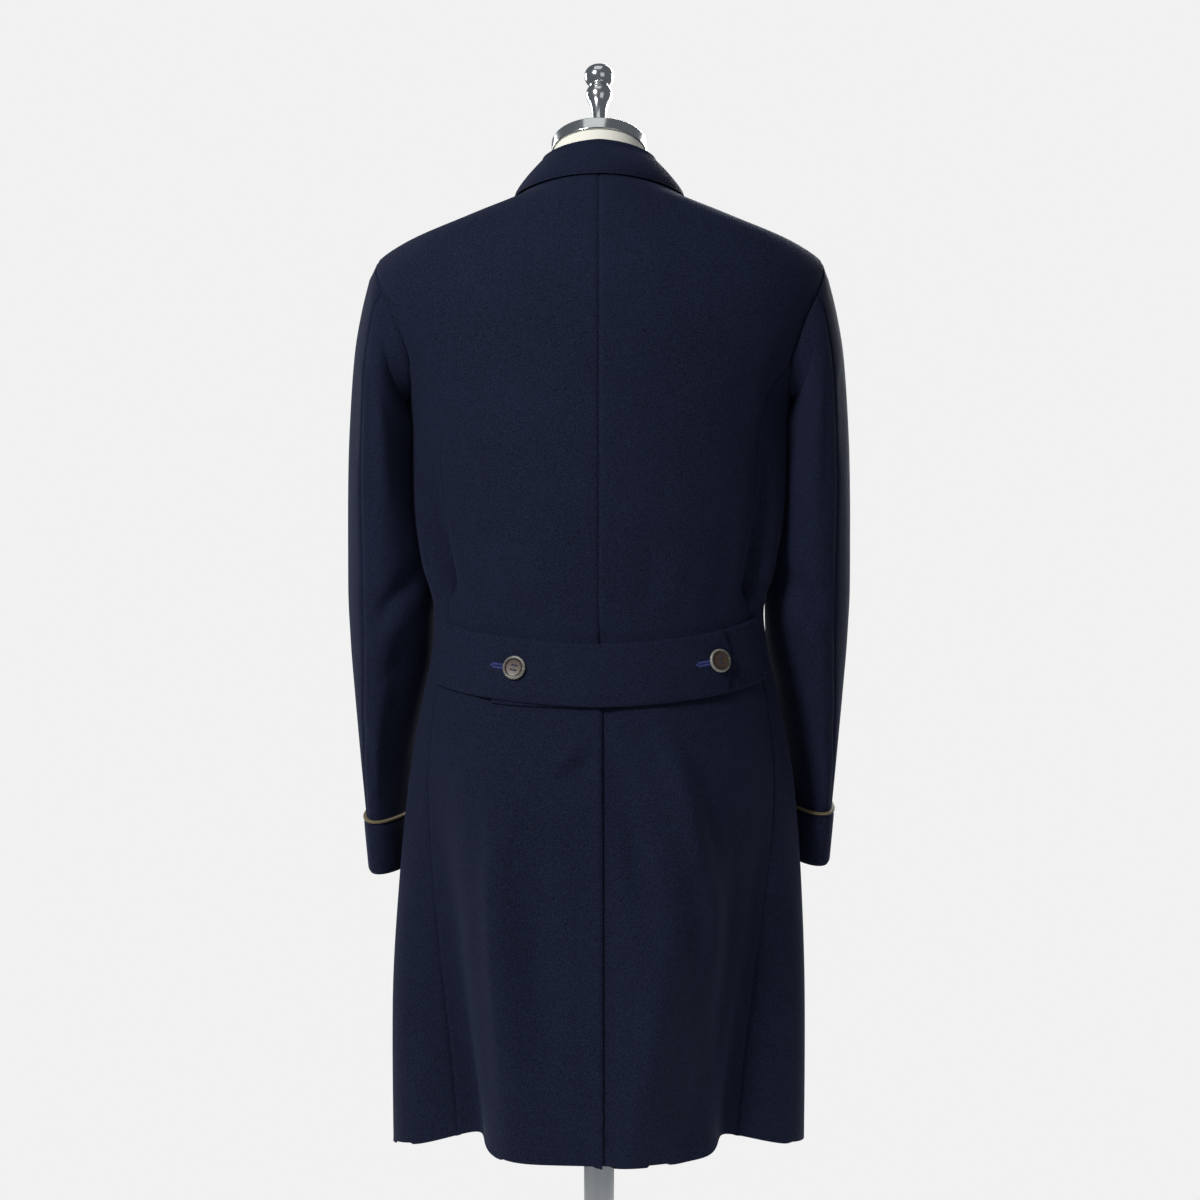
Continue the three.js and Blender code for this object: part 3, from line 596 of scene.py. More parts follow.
def wool_material(name, dark, light, sheen_colour):
    """Milled wool twill: mottled fibres, diagonal ridges in the bump, and a soft sheen."""
    material, tree = new_material(name)
    grain = add_node(tree, "ShaderNodeUVMap", {"uv_map": "grain"})
    scale = 1 / (twill_pitch * mm)
    diagonal = add_node(
        tree,
        "ShaderNodeMapping",
        Vector=grain.outputs[0],
        Rotation=(0, 0, math.radians(-35)),
        Scale=(scale, scale, scale),
    )
    ridges = add_node(
        tree,
        "ShaderNodeTexWave",
        {"wave_type": "BANDS", "bands_direction": "X"},
        Vector=diagonal.outputs[0],
        Scale=wave_scale,
        Distortion=1.2,
        Detail=2.0,
        Detail_Scale=2.0,
    )
    place = add_node(tree, "ShaderNodeTexCoord")
    fibres = add_node(
        tree,
        "ShaderNodeTexNoise",
        Vector=place.outputs["Object"],
        Scale=1 / (grain_size * mm),
        Detail=3.0,
        Roughness=0.65,
    )
    cloud = add_node(
        tree, "ShaderNodeTexNoise", Vector=place.outputs["Object"], Scale=9.0, Detail=4.0, Roughness=0.55
    )
    mottle = scaled(tree, cloud.outputs[0], 0.1, scaled(tree, fibres.outputs[0], 0.95, -0.03))
    colour = tones(tree, mottle, (0.34, dark), (0.68, light))
    height = scaled(tree, ridges.outputs["Fac"], 0.5, fibres.outputs[0])
    bump = add_node(tree, "ShaderNodeBump", Strength=0.8, Distance=0.6 * mm, Height=height)
    shader = add_node(
        tree, "ShaderNodeBsdfPrincipled", Base_Color=colour, Roughness=0.88, Normal=bump.outputs[0]
    )
    shader.inputs["IOR"].default_value = 1.45
    shader.inputs["Specular IOR Level"].default_value = 0.15
    shader.inputs["Sheen Weight"].default_value = 0.08
    shader.inputs["Sheen Roughness"].default_value = 0.45
    shader.inputs["Sheen Tint"].default_value = linear(sheen_colour)
    finish_material(tree, shader)
    return material


navy = wool_material("navy wool overcoating", "#080b17", "#1f263f", "#8090c8")
print("navy wool, twill drawn at", twill_pitch, "mm")

# %% [markdown]
# ## Backs and fronts
#
# Each back runs from the centre back seam to the side-back seam, up to the armhole and the shoulder. Below
# the belt the centre back is a vent: the left back laps over, and the right back has an extra strip beneath
# it. The fronts wrap round from the side-back seams, under the arms, and lap left over right down the
# middle. Pieces that are sewn together overlap by a hair at their seam, so that no light comes through it.

# %% Backs and fronts
armhole_middle, armhole_half = (underarm + shoulder_tip) / 2, (shoulder_tip - underarm) / 2
near = 0.01
seam_gap = -0.1
half_seam = math.degrees(seam_gap / 2 / fold_radius)
join_level = armhole_middle + armhole_half * math.cos(math.radians(120))
vent_lap, vent_open, vent_closed, vent_stands, vent_curl = 0.9, 760, 85, 1.8, 2.6
sink_run, sink_starts, front_sink_fades = 5, 7, 40
back_width, underlap_width, side_width, front_width, behind_width, chest_width = 190, 45, 130, 230, 60, 200


def seam_turn(level):
    """Where the side-back seam runs."""
    return read(side_back_seam, "turn", level)


def armhole_turn(level, opening):
    """The armhole's edge at a level; a negative opening gives its front edge."""
    across = (level - armhole_middle) / armhole_half
    return 90 - opening * np.sqrt(np.clip(1 - across**2, 0, 1))


def back_edge(level):
    """A back's outer edge: the side-back seam, then the armhole, then the shoulder seam."""
    upper = np.where(level < shoulder_tip, armhole_turn(level, armhole_open_back), 90.0)
    return np.where(level <= join_level, seam_turn(level), upper) - half_seam


armhole_levels = armhole_middle + armhole_half * np.cos(np.radians(np.linspace(180, 0, 37)))
body_levels = np.concatenate(
    [graded([hem_level, vent_top - 0.5], 6)[:-1], graded([vent_top - 0.5, vent_top, 905, underarm], 6)[:-1]]
    + [armhole_levels[:-1], graded([shoulder_tip, 1300, fall_level, neck_level - seam], 4)]
)
under = cloth + lap_clear


def vent_sink(turn, level):
    """The right back goes down beneath the left one at the vent."""
    below = 1 - ease((level - vent_sink_top) / vent_sink_fades)
    return under * ease((turn + sink_starts) / sink_run) * below


def front_sink(turn, level):
    """The right front goes down beneath the left one."""
    past = -turn - (180 - front_lap - sink_starts)
    return under * ease(past / sink_run) * (1 - ease((level - fronts_part) / front_sink_fades))


def vent_rise(turn, level):
    """The left back's free edge stands a little off the layer beneath it; that makes it a negative sink."""
    curl = np.exp(-(((turn + vent_lap) / vent_curl) ** 2))
    return -vent_stands * curl * (1 - ease((level - vent_open) / vent_closed))


back_left_surface, back_right_surface = coat(vent_rise), coat(vent_sink)
vent_levels = body_levels[body_levels <= vent_top]


def left_back_span(level):
    """The left back's two edges; its inner one goes past the middle at the vent."""
    return np.where(level < vent_top, -vent_lap, half_seam), back_edge(level)


def right_back_span(level):
    """The right back's two edges."""
    return np.where(level < vent_top, 0.0, -half_seam), -back_edge(level)


def underlap_span(level):
    """The strip beneath the left back."""
    return 0 * level + underlap, 0 * level


back_left_net = [patch(back_left_surface, left_back_span, body_levels, back_width)]
back_right_net = [
    patch(back_right_surface, right_back_span, body_levels, back_width),
    patch(back_right_surface, underlap_span, vent_levels, underlap_width, (False, False)),
]


def half_width(level):
    """The coat's half width at a level."""
    return read(rings, "left", level)


lap_x = half_width(lapel_break) * math.sin(math.radians(front_lap))


def roll_x(level):
    """How far from the middle the lapel's roll runs."""
    return lerp(-lap_x, roll_at_neck, np.clip((level - lapel_break) / (neck_level - lapel_break), 0, 1))


def turn_at(x, level):
    """The turn at which the front is a distance x from the middle."""
    return 180 - np.degrees(np.arcsin(np.clip(x / half_width(level), -1, 1)))


def roll_turn(level):
    """The front's edge: past the middle below the break, along the roll above it."""
    return np.where(level <= lapel_break, 180 + front_lap, turn_at(roll_x(level), level))


def front_net(surface, sign):
    """A front's patches: the side and the front below the arm, the part behind the armhole, and the chest."""
    low = body_levels[body_levels <= underarm + near]
    behind = body_levels[(body_levels >= underarm - near) & (body_levels <= join_level + near)]
    behind = np.concatenate([behind, [join_level]]) if behind[-1] < join_level - near else behind
    high = body_levels[body_levels >= underarm - near]
    side_shares, front_shares = fractions(side_width, (True, False)), fractions(front_width, (False, False))

    def side_span(level):
        return sign * (seam_turn(level) + half_seam), 0 * level + sign * 90

    def front_span(level):
        return 0 * level + sign * 90, sign * roll_turn(level)

    def behind_span(level):
        edge = armhole_turn(level, armhole_open_back)
        return sign * np.minimum(seam_turn(level) + half_seam, edge), sign * edge

    def chest_span(level):
        edge = np.where(level < shoulder_tip - near, armhole_turn(level, -armhole_open_front), 90 + half_seam)
        return sign * edge, sign * roll_turn(level)

    return [
        patch(surface, side_span, low, side_width, (True, False), shares=side_shares),
        patch(surface, front_span, low, front_width, (False, False), shares=front_shares),
        patch(surface, behind_span, behind, behind_width, (True, False), shares=side_shares),
        patch(surface, chest_span, high, chest_width, (False, False), shares=front_shares),
    ]


front_surface = {"left": coat(), "right": coat(front_sink)}
pieces, cut_areas = {}, {}


def make_cloth(name, surface, net, *wall_and_lift, grain=1):
    """A piece of the overcoating that stands for the solid of the same name, and the area that it shows."""
    pieces[name] = dress(shell(name, surface, net, navy, *wall_and_lift, grain=grain), "wool", name)
    cut_areas[name] = net_area(surface, net)


def print_areas(*names):
    """Prints what the named pieces show, in square metres."""
    print({name: round(cut_areas[name], 3) for name in names}, "square metres")


make_cloth("back_left", back_left_surface, back_left_net)
make_cloth("back_right", back_right_surface, back_right_net)
for side, sign in (("left", 1), ("right", -1)):
    make_cloth(f"front_{side}", front_surface[side], front_net(front_surface[side], sign))
print_areas("back_left", "back_right", "front_left", "front_right")

# %% [markdown]
# ## Sleeves, cuffs and their trim
#
# A two-piece sleeve hangs in a slight forward bend: the upper sleeve carries the cap over the shoulder, and
# the under sleeve lies against the body. The cap is eased into the armhole, so it goes on from the shoulder
# with no ridge. Each cuff is turned back up over the sleeve, with a line of tan braid on its upper edge.
# The first table gives the sleeve's rings from the armhole down, and the second one its creases, each a
# line on the sleeve.

# %% The sleeve's surface
sleeve_rings = table(
    "ring out_x out_z in_x in_z deep mid_y twist slant",
    [
        [1, 245, 1262, 211, 1124, 64, 0, 0, 0],
        [2, 253, 1230, 208.5, 1104, 68, -2, 0, 0],
        [3, 261, 1186, 205.5, 1078, 73, -7, 0, 0],
        [4, 266, 1130, 202.5, 1048, 78, -14, 0, 0],
        [5, 269.5, 1066, 199, 1016, 80, -23, 0, 0],
        [6, 271, 1000, 193.5, 976, 78, -32, 0, 0.02],
        [7, 271.5, 935, 186, 926, 76, -41, 1, 0.04],
        [8, 269, 876, 183, 874, 75, -48, 3, 0.08],
        [9, 263, 816, 190, 816, 74, -55, 7, 0.12],
        [10, 255, 758, 197, 758, 73, -61, 11, 0.16],
        [11, 246, 700, 199, 700, 70, -68, 15, 0.2],
        [12, 238, 640, 196, 640, 68, -74, 18, 0.22],
    ],
)
sleeve_raise = {"left": 0, "right": 9}
sleeve_press = {"left": 5.5, "right": 0}
inner_angle, press_wide, press_top, press_bottom, press_fades = 182, 42, 4.5, 10.2, 2
back_seam_angle, front_seam_angle, seam_angle = 60, 260, 0.05
ring_length, sleeve_radius = 61, 62
sleeve_creases = table(
    "ring angle ring_end angle_end wide deep",
    [
        [6.6, 150, 7.7, 66, 11, -3.2],
        [7.3, 140, 8.4, 52, 13, 2.6],
        [8.1, 130, 8.8, 74, 10, -2.4],
        [2.2, 75, 6.4, 84, 13, -2.2],
        [2.4, 98, 5.6, 108, 14, 2.2],
        [3.0, 40, 5.2, 48, 16, -1.6],
        [9.2, 60, 10.6, 96, 12, -1.8],
        [7.2, 300, 8.2, 245, 12, -2.4],
        [8.0, 310, 8.9, 250, 12, 2.0],
        [2.4, 262, 5.8, 255, 14, -2.2],
        [0.2, 182, 8.8, 182, 46, 9],
        [0.5, 186, 3.2, 186, 44, 9],
        [6.2, 160, 7.6, 72, 12, -5],
        [7.2, 128, 11.4, 128, 34, -9],
    ],
)


def sleeve_crease_depth(angle, ring):
    """How far the sleeve's creases move it out at each place."""
    depth = np.zeros(np.broadcast(angle, ring).shape)
    angle = angle % 360
    for ring_start, angle_start, ring_end, angle_end, wide, deep in zip(*sleeve_creases.values()):
        turned = math.radians(angle_end - angle_start) * sleeve_radius
        run = np.array([(ring_end - ring_start) * ring_length, turned])
        away_ring = (ring - ring_start) * ring_length
        away_angle = np.radians(angle - angle_start) * sleeve_radius
        length = np.linalg.norm(run)
        along = (away_ring * run[0] + away_angle * run[1]) / length**2
        across = (away_ring * run[1] - away_angle * run[0]) / length
        strength = ease(np.clip(along, 0, 1) * 4) * ease(np.clip(1 - along, 0, 1) * 3)
        depth += deep * strength * np.exp(-((across / wide) ** 2))
    return depth


def sleeve(side):
    """A sleeve's surface: angle goes round from its top by the back, ring runs from the armhole down."""
    sign = 1 if side == "left" else -1
    armhole = coat()

    def centre(ring):
        ring = np.maximum(ring, 1)
        raised = sleeve_raise[side] * np.clip((ring - 5) / 5, 0, 1)
        middle_x = (read(sleeve_rings, "out_x", ring) + read(sleeve_rings, "in_x", ring)) / 2
        middle_z = (read(sleeve_rings, "out_z", ring) + read(sleeve_rings, "in_z", ring)) / 2
        return points(sign * middle_x, read(sleeve_rings, "mid_y", ring), middle_z + raised)

    def lower(angle, ring):
        half_x = (read(sleeve_rings, "out_x", ring) - read(sleeve_rings, "in_x", ring)) / 2
        half_z = (read(sleeve_rings, "out_z", ring) - read(sleeve_rings, "in_z", ring)) / 2
        deep = read(sleeve_rings, "deep", ring)
        cosine, sine = np.cos(np.radians(angle)), np.sin(np.radians(angle))
        twist = np.radians(read(sleeve_rings, "twist", ring))
        x = half_x * cosine * np.cos(twist) + deep * sine * np.sin(twist)
        y = deep * sine * np.cos(twist) - half_x * cosine * np.sin(twist)
        z = half_z * cosine - read(sleeve_rings, "slant", ring) * y
        return centre(ring) + points(sign * x, y, z)

    def armhole_at(angle):
        sine = np.sin(np.radians(angle))
        turn = 90 - sine * np.where(sine > 0, armhole_open_back, armhole_open_front)
        return sign * turn, armhole_middle + armhole_half * np.cos(np.radians(angle))

    def goes_on(angle):
        return ease(np.cos(np.radians(angle)) + 0.5)[..., None]

    def start(angle):
        normal = armhole.normal(*armhole_at(angle))
        edge = armhole.at(*armhole_at(angle))
        onward = lower(angle, np.ones_like(angle)) - edge
        onward = unit(onward - normal * (onward * normal).sum(-1, keepdims=True))
        return edge + seam_gap * lerp(normal, onward, goes_on(angle))

    def plain_at(angle, ring):
        angle, ring = (np.array(a, float) for a in np.broadcast_arrays(angle, ring))
        place = lower(angle, np.maximum(ring, 1))
        high = ring < 1
        if high.any():
            share = np.clip(ring[high], 0, 1)[:, None]
            place[high] = lerp(start(angle[high]), place[high], share)
        return place

    def core(angle, ring):
        below = centre(ring) + 0 * plain_at(angle, ring)
        return np.where(np.asarray(ring)[..., None] >= 1, below, below + np.array([-12 * sign, 0, 8]))

    plain = Surface(plain_at, core, 1, 0.02)

    def plain_normal(angle, ring):
        own = plain.plain_normal(angle, ring)
        coat_normal = armhole.normal(*armhole_at(angle))
        share = goes_on(angle) * (1 - ease(np.asarray(ring, float) / 0.6))[..., None]
        return unit(lerp(own, coat_normal, share))

    plain.own_normal = plain_normal

    def press_depth(angle, ring):
        inner = np.exp(-(((np.asarray(angle, float) - inner_angle) / press_wide) ** 2))
        ends = ease((ring - press_top) / press_fades) * ease((press_bottom - ring) / press_fades)
        return sleeve_press[side] * inner * ends

    def at(angle, ring):
        return plain.moved(angle, ring, sleeve_crease_depth(angle, ring) + press_depth(angle, ring))

    return Surface(at, core, 1, 0.02, plain_normal)


def fixed_span(start, end):
    """A patch's two edges where they stay at fixed places."""
    return lambda v: (0 * v + start, 0 * v + end)


# %% [markdown]
# The sleeve's rows are close together under the cap, where it turns out of the armhole. The two halves meet
# at a back and a front seam, and the cuff goes all round with its ends at the front one.

# %% Sleeves and cuffs
cuff_bottom, cuff_top, cuff_wall, cuff_deep, cuff_girth = 12, 11.1, 2.5, 58, 400
upper_width, under_width, row_step = 215, 240, 0.085
sleeve_rows = np.concatenate([[0, 0.03, 0.08, 0.15, 0.27, 0.42], graded([0.6, 1, cuff_bottom], row_step)])
cuff_rows = cuff_bottom - (cuff_bottom - cuff_top) * fractions(cuff_deep)
front_seam = front_seam_angle - 360 + seam_angle
upper_span = fixed_span(front_seam, back_seam_angle - seam_angle)
under_span = fixed_span(back_seam_angle + seam_angle, front_seam_angle - seam_angle)
cuff_span = fixed_span(front_seam, front_seam_angle - seam_angle)
sleeve_surfaces = {side: sleeve(side) for side in ("left", "right")}
for side, surface in sleeve_surfaces.items():
    for part, span, width in (("upper", upper_span, upper_width), ("under", under_span, under_width)):
        net = [patch(surface, span, sleeve_rows, width, ends=(True, False))]
        make_cloth(f"sleeve_{part}_{side}", surface, net, grain=1 if side == "left" else -1)
    cuff_net = [patch(surface, cuff_span, cuff_rows, cuff_girth, ends=(True, True))]
    make_cloth(f"cuff_{side}", surface, cuff_net, cuff_wall, cuff_wall + layer)
print_areas("sleeve_upper_left", "sleeve_under_left", "cuff_left")

# %% [markdown]
# ## Collar and lapels
#
# The collar is cut in one with its stand: it rises off the neck seam, rolls over and falls back onto the
# coat, where its edge lies round the shoulders. The lapels are the turned-back upper fronts. Both fold
# softly, so their sections are arcs, never creases pressed flat.

# %% Collar and lapels
collar_end, roll_half, fall_bow = 144, 4.2, 2.5
collar_length, stand_deep, fall_deep, roll_rows = 400, 21, 36, 8
lapel_length, lapel_width, lapel_belly = 240, 90, 1.6
lapel_start = {"left": 0.06, "right": 0.34}
collar_rings = table(
    "turn lean rise edge",
    [[0, -1, 25, 4], [60, 3, 22, 4], [90, 8, 19, 4], [112, 3, 16, 4], [collar_end, -3, 11, 4.5]],
)


def collar_frame(turn):
    """The neck seam, the way out from the neck there, and the middle of the roll."""
    away = np.abs(turn)
    foot = plain_coat_at(turn, 0 * turn + neck_level) + np.array([0, 0, seam])
    outward = unit(foot * np.array([1, 1, 0]))
    roll = foot - outward * read(collar_rings, "lean", away)[..., None]
    roll = roll + points(0 * turn, 0 * turn, read(collar_rings, "rise", away) - roll_half)
    return foot, outward, roll


def collar_at(turn, along):
    """The collar's section: along 0 to 1 is the stand, 1 to 2 the roll, 2 to 3 the fall."""
    turn, along = (np.array(a, float) for a in np.broadcast_arrays(turn, along))
    foot, outward, roll = collar_frame(turn)
    t = along[..., None]
    up = np.array([0, 0, 1])
    stand = lerp(foot, roll - outward * roll_half, np.clip(t, -0.1, 1))
    angle = np.pi * (np.clip(t, 1, 2) - 1)
    over = roll + up * roll_half * np.sin(angle) - outward * roll_half * np.cos(angle)
    edge = plain_coat.moved(turn, 0 * turn + fall_level, read(collar_rings, "edge", np.abs(turn)))
    share = np.clip(t - 2, 0, 1.1)
    fall = lerp(roll + outward * roll_half, edge, share) + outward * fall_bow * np.sin(np.pi * share)
    return np.where(t < 1, stand, np.where(t <= 2, over, fall))


def collar_core(turn, along):
    """A point inside the collar's fold."""
    foot, outward, roll = collar_frame(turn)
    t = (along + 0 * turn)[..., None]
    beside = collar_at(turn, along) + outward * np.where(t < 1, 5, -5)
    return np.where((t >= 1) & (t <= 2), roll, beside)


collar_surface = Surface(collar_at, collar_core, 1, 0.05)
stand_rows = fractions(stand_deep, (True, False))
roll_arc_rows = 1 + np.linspace(0, 1, roll_rows + 1)[1:]
fall_rows = 2 + fractions(fall_deep, (False, True))[1:]
collar_rows = np.concatenate([stand_rows, roll_arc_rows, fall_rows])
collar_span = fixed_span(-collar_end, collar_end)
collar_net = [patch(collar_surface, collar_span, collar_rows, collar_length, ends=(False, True))]
make_cloth("collar", collar_surface, collar_net)


def lapel(side):
    """A lapel on its front: u runs out from the roll to the edge, v from the break up to the gorge."""
    sign = 1 if side == "left" else -1

    def place(u, v):
        level = lerp(lapel_break, lapel_top - gorge_drop * np.maximum(u, 0) ** 1.2, v)
        roll = roll_x(level)
        inner = roll if side == "left" else np.maximum(roll, lap_gap_x - roll)
        outer = roll + lapel_wide * np.maximum(v, 0) ** 0.85
        return sign * turn_at(lerp(inner, outer, u), level), level

    def at(u, v):
        turn, level = place(u, v)
        belly = lapel_belly * np.sin(np.pi * np.clip(u, 0, 1)) * ease(v)
        return front_surface[side].moved(turn, level, lapel_rest + cloth + belly)

    return Surface(at, lambda u, v: coat_core(*place(u, v)), 0.02, 0.01)


for side, start in lapel_start.items():
    surface = lapel(side)
    rows = start + (1 - start) * fractions(lapel_length * (1 - start))
    net = [patch(surface, fixed_span(0, 1), rows, lapel_width, ends=(True, True))]
    make_cloth(f"lapel_{side}", surface, net)
print_areas("collar", "lapel_left", "lapel_right")

# %% [markdown]
# ## The half belt
#
# Two pieces, each of cloth folded double, are caught in the side-back seams and lap at the back. The longer
# one has a soft pointed end, and it buttons over the shorter one. Rows of topstitching run along both edges
# and across the end: the stitches pull the two layers together, so each row lies in a shallow groove.

# %% The belt pieces
belt_width, belt_wall, belt_rest, belt_radius = 65, 2.6, 1.4, 168
over_length, under_length, belt_step, belt_tuck = 335, 300, 2.6, 3
over_lap_turn, over_lap_run = 46, 8
belt_middle, belt_ends, belt_end_turn, belt_sag, belt_right_lift = 842, 864.5, 67, 1.6, 4
belt_point, point_across, point_half, point_deep, under_belt_end, under_droop = -48, 0.15, 0.6, 3.6, 36, 4
stitch_in, groove_deep, groove_wide = 6.0, 0.95, 1.5
belt_end = belt_end_turn - 0.6


def belt_level(turn, across, droop):
    """The height of a place on the belt."""
    away = (np.abs(turn) / belt_end_turn) ** belt_sag
    centre = lerp(belt_middle, belt_ends + np.where(turn < 0, belt_right_lift, 0), away)
    return centre + across * belt_width - droop * ease(turn / under_belt_end)


def over_lift(turn):
    """How far the over piece's face stands off the coat: further where it lies over the other one."""
    return belt_rest + belt_wall + (belt_wall + layer) * ease((over_lap_turn - turn) / over_lap_run)


def under_lift(turn):
    """How far the under piece's face stands off the coat."""
    return belt_rest + belt_wall + 0 * turn


def point_turn(across):
    """Where the over piece ends: a soft point."""
    return belt_point + point_deep * np.minimum(1, np.abs(across - point_across) / point_half)


def under_turn(across):
    """Where the under piece ends: square."""
    return under_belt_end + 0 * across


def belt_surface(lift, end_turn, droop=0):
    """A belt piece's surface, with a groove under its rows of stitches."""

    def at(turn, across):
        from_edges = (0.5 - np.abs(across)) * belt_width
        from_end = np.abs(turn - end_turn(across)) * math.radians(1) * belt_radius
        row = np.minimum(np.abs(np.minimum(from_edges, from_end) - stitch_in), 9)
        groove = groove_deep * np.exp(-((row / groove_wide) ** 2))
        return plain_coat.moved(turn, belt_level(turn, across, droop), lift(turn) - groove)

    def core(turn, across):
        return coat_core(turn, belt_level(turn, across, droop))

    return Surface(at, core, 0.3, 0.008)


over_surface = belt_surface(over_lift, point_turn)
under_surface = belt_surface(under_lift, under_turn, under_droop)
belt_rows = -0.5 + fractions(belt_width, step=belt_step)


def make_belt(name, surface, start, end_turn, length):
    """A belt piece, from the seam that it is caught in to its end."""

    def span(across):
        return 0 * across + start, end_turn(across)

    shares = fractions(length, step=belt_step)
    net = [patch(surface, span, belt_rows, length, ends=(True, True), shares=shares)]
    make_cloth(name, surface, net, belt_wall)


make_belt("belt_over", over_surface, belt_end, point_turn, over_length)
make_belt("belt_under", under_surface, -belt_end - belt_tuck, under_turn, under_length)
print_areas("belt_over", "belt_under")

# %% [markdown]
# ## Stitches and buttonholes
#
# Thread repeats, so it is set out by geometry nodes: one stitch on the points of a row, turned along it. A
# topstitch in buttonhole thread is 3.3 mm long with a millimetre between. A buttonhole's edge is worked
# with purl stitches, close together and square to the slit.

# %% Rows of thread
thread_tones = {"navy": ("#1d2337", "#2c3452"), "blue": ("#141f52", "#27398c")}


def thread_material(name, dark, light):
    """Twisted polyester or cotton thread: a satin lustre and a slight change of tone along it."""
    material, tree = new_material(name)
    place = add_node(tree, "ShaderNodeTexCoord")
    change = add_node(tree, "ShaderNodeTexNoise", Vector=place.outputs["Object"], Scale=900.0, Detail=2.0)
    colour = tones(tree, change.outputs[0], (0.35, dark), (0.65, light))
    shader = add_node(tree, "ShaderNodeBsdfPrincipled", Base_Color=colour, Roughness=0.5)
    shader.inputs["Sheen Weight"].default_value = 0.2
    finish_material(tree, shader)
    return material


threads = {name: thread_material(f"{name} thread", *pair) for name, pair in thread_tones.items()}
stitch_rows, stitch_sides, stitch_jitter = 7, 8, 0.07


def stitch_mesh(length, wide, high):
    """One stitch: a small rounded bar along X that dips at both ends."""
    t = np.linspace(-1, 1, stitch_rows)[:, None]
    a = np.linspace(0, 2 * np.pi, stitch_sides, endpoint=False)
    swell = np.sqrt(np.maximum(1 - t * t, 0.02))
    y, z = wide / 2 * swell * np.cos(a), high * (swell - 0.75 + np.sin(a) * swell / 2)
    corners = points(t * length / 2, y, z).reshape(-1, 3)
    faces = []
    for start in range(0, (stitch_rows - 1) * stitch_sides, stitch_sides):
        for i in range(stitch_sides):
            here, beside = start + i, start + (i + 1) % stitch_sides
            faces.append([here + stitch_sides, beside + stitch_sides, beside, here])
    faces += [list(range(stitch_sides)), list(range(len(corners) - 1, len(corners) - 1 - stitch_sides, -1))]
    mesh = bpy.data.meshes.new("stitch")
    mesh.from_pydata((corners * mm).tolist(), [], faces)
    mesh.shade_smooth()
    return mesh


def stitch_tree():
    """Geometry nodes that set a stitch on every point of a mesh, turned to the point's own axes."""
    tree = bpy.data.node_groups.new("stitches", "GeometryNodeTree")
    names = ("Geometry", "Stitch", "Thread", "Jitter", "Seed")
    for name, kind in zip(names, ("Geometry", "Object", "Material", "Float", "Int")):
        tree.interface.new_socket(name, in_out="INPUT", socket_type=f"NodeSocket{kind}")
    tree.interface.new_socket("Geometry", in_out="OUTPUT", socket_type="NodeSocketGeometry")
    given = add_node(tree, "NodeGroupInput").outputs
    vector = {"data_type": "FLOAT_VECTOR"}
    along = add_node(tree, "GeometryNodeInputNamedAttribute", vector, Name="along")
    up = add_node(tree, "GeometryNodeInputNamedAttribute", vector, Name="up")
    axes = {"primary_axis": "Z", "secondary_axis": "X"}
    turn = add_node(
        tree, "FunctionNodeAxesToRotation", axes, Primary_Axis=up.outputs[0], Secondary_Axis=along.outputs[0]
    )
    random = add_node(tree, "FunctionNodeRandomValue", {"data_type": "FLOAT"}, Seed=given["Seed"])
    low = add_node(tree, "ShaderNodeMath", {"operation": "SUBTRACT"}, at_0=1.0, at_1=given["Jitter"])
    high = add_node(tree, "ShaderNodeMath", {"operation": "ADD"}, at_0=1.0, at_1=given["Jitter"])
    tree.links.new(low.outputs[0], random.inputs[2])
    tree.links.new(high.outputs[0], random.inputs[3])
    stitch = add_node(tree, "GeometryNodeObjectInfo", Object=given["Stitch"])
    rows = add_node(
        tree,
        "GeometryNodeInstanceOnPoints",
        Points=given["Geometry"],
        Instance=stitch.outputs["Geometry"],
        Rotation=turn.outputs[0],
        Scale=random.outputs[1],
    )
    real = add_node(tree, "GeometryNodeRealizeInstances", Geometry=rows.outputs[0])
    done = add_node(tree, "GeometryNodeSetMaterial", Geometry=real.outputs[0], Material=given["Thread"])
    add_node(tree, "NodeGroupOutput", Geometry=done.outputs[0])
    return tree


stitches = stitch_tree()


def sew(name, places, along, up, size, thread, seed):
    """A row of stitches as one plain mesh object. size is a stitch's length, width and height in mm."""
    mesh = bpy.data.meshes.new(name)
    mesh.from_pydata((places * mm).tolist(), [], [])
    for key, values in (("along", along), ("up", up)):
        attribute = mesh.attributes.new(key, "FLOAT_VECTOR", "POINT")
        attribute.data.foreach_set("vector", values.astype(np.float32).ravel())
    row = bpy.data.objects.new(name, mesh)
    pattern = bpy.data.objects.new(f"{name}_pattern", stitch_mesh(*size))
    bpy.context.scene.collection.objects.link(row)
    bpy.context.scene.collection.objects.link(pattern)
    modifier = row.modifiers.new("stitches", "NODES")
    modifier.node_group = stitches
    values = {"Stitch": pattern, "Thread": threads[thread], "Jitter": stitch_jitter, "Seed": seed}
    for item in stitches.interface.items_tree:
        if item.in_out == "INPUT" and item.name in values:
            modifier[item.identifier] = values[item.name]
    whole = row.evaluated_get(bpy.context.evaluated_depsgraph_get())
    made = bpy.data.meshes.new_from_object(whole)
    row.modifiers.clear()
    row.data = made
    bpy.data.objects.remove(pattern)
    return row


def along_line(surface, us, vs, spacing, off):
    """Evenly spaced places on a line of a surface, with the line's direction and the normal there."""
    line = surface.at(us, vs)
    length = np.concatenate([[0], np.cumsum(np.linalg.norm(np.diff(line, axis=0), axis=-1))])
    stops = np.arange(spacing / 2, length[-1], spacing)
    u, v = np.interp(stops, length, us), np.interp(stops, length, vs)
    ahead = np.minimum(stops + 0.5, length[-1])
    way = unit(surface.at(np.interp(ahead, length, us), np.interp(ahead, length, vs)) - surface.at(u, v))
    normal = surface.normal(u, v)
    return surface.at(u, v) + normal * off, way, normal


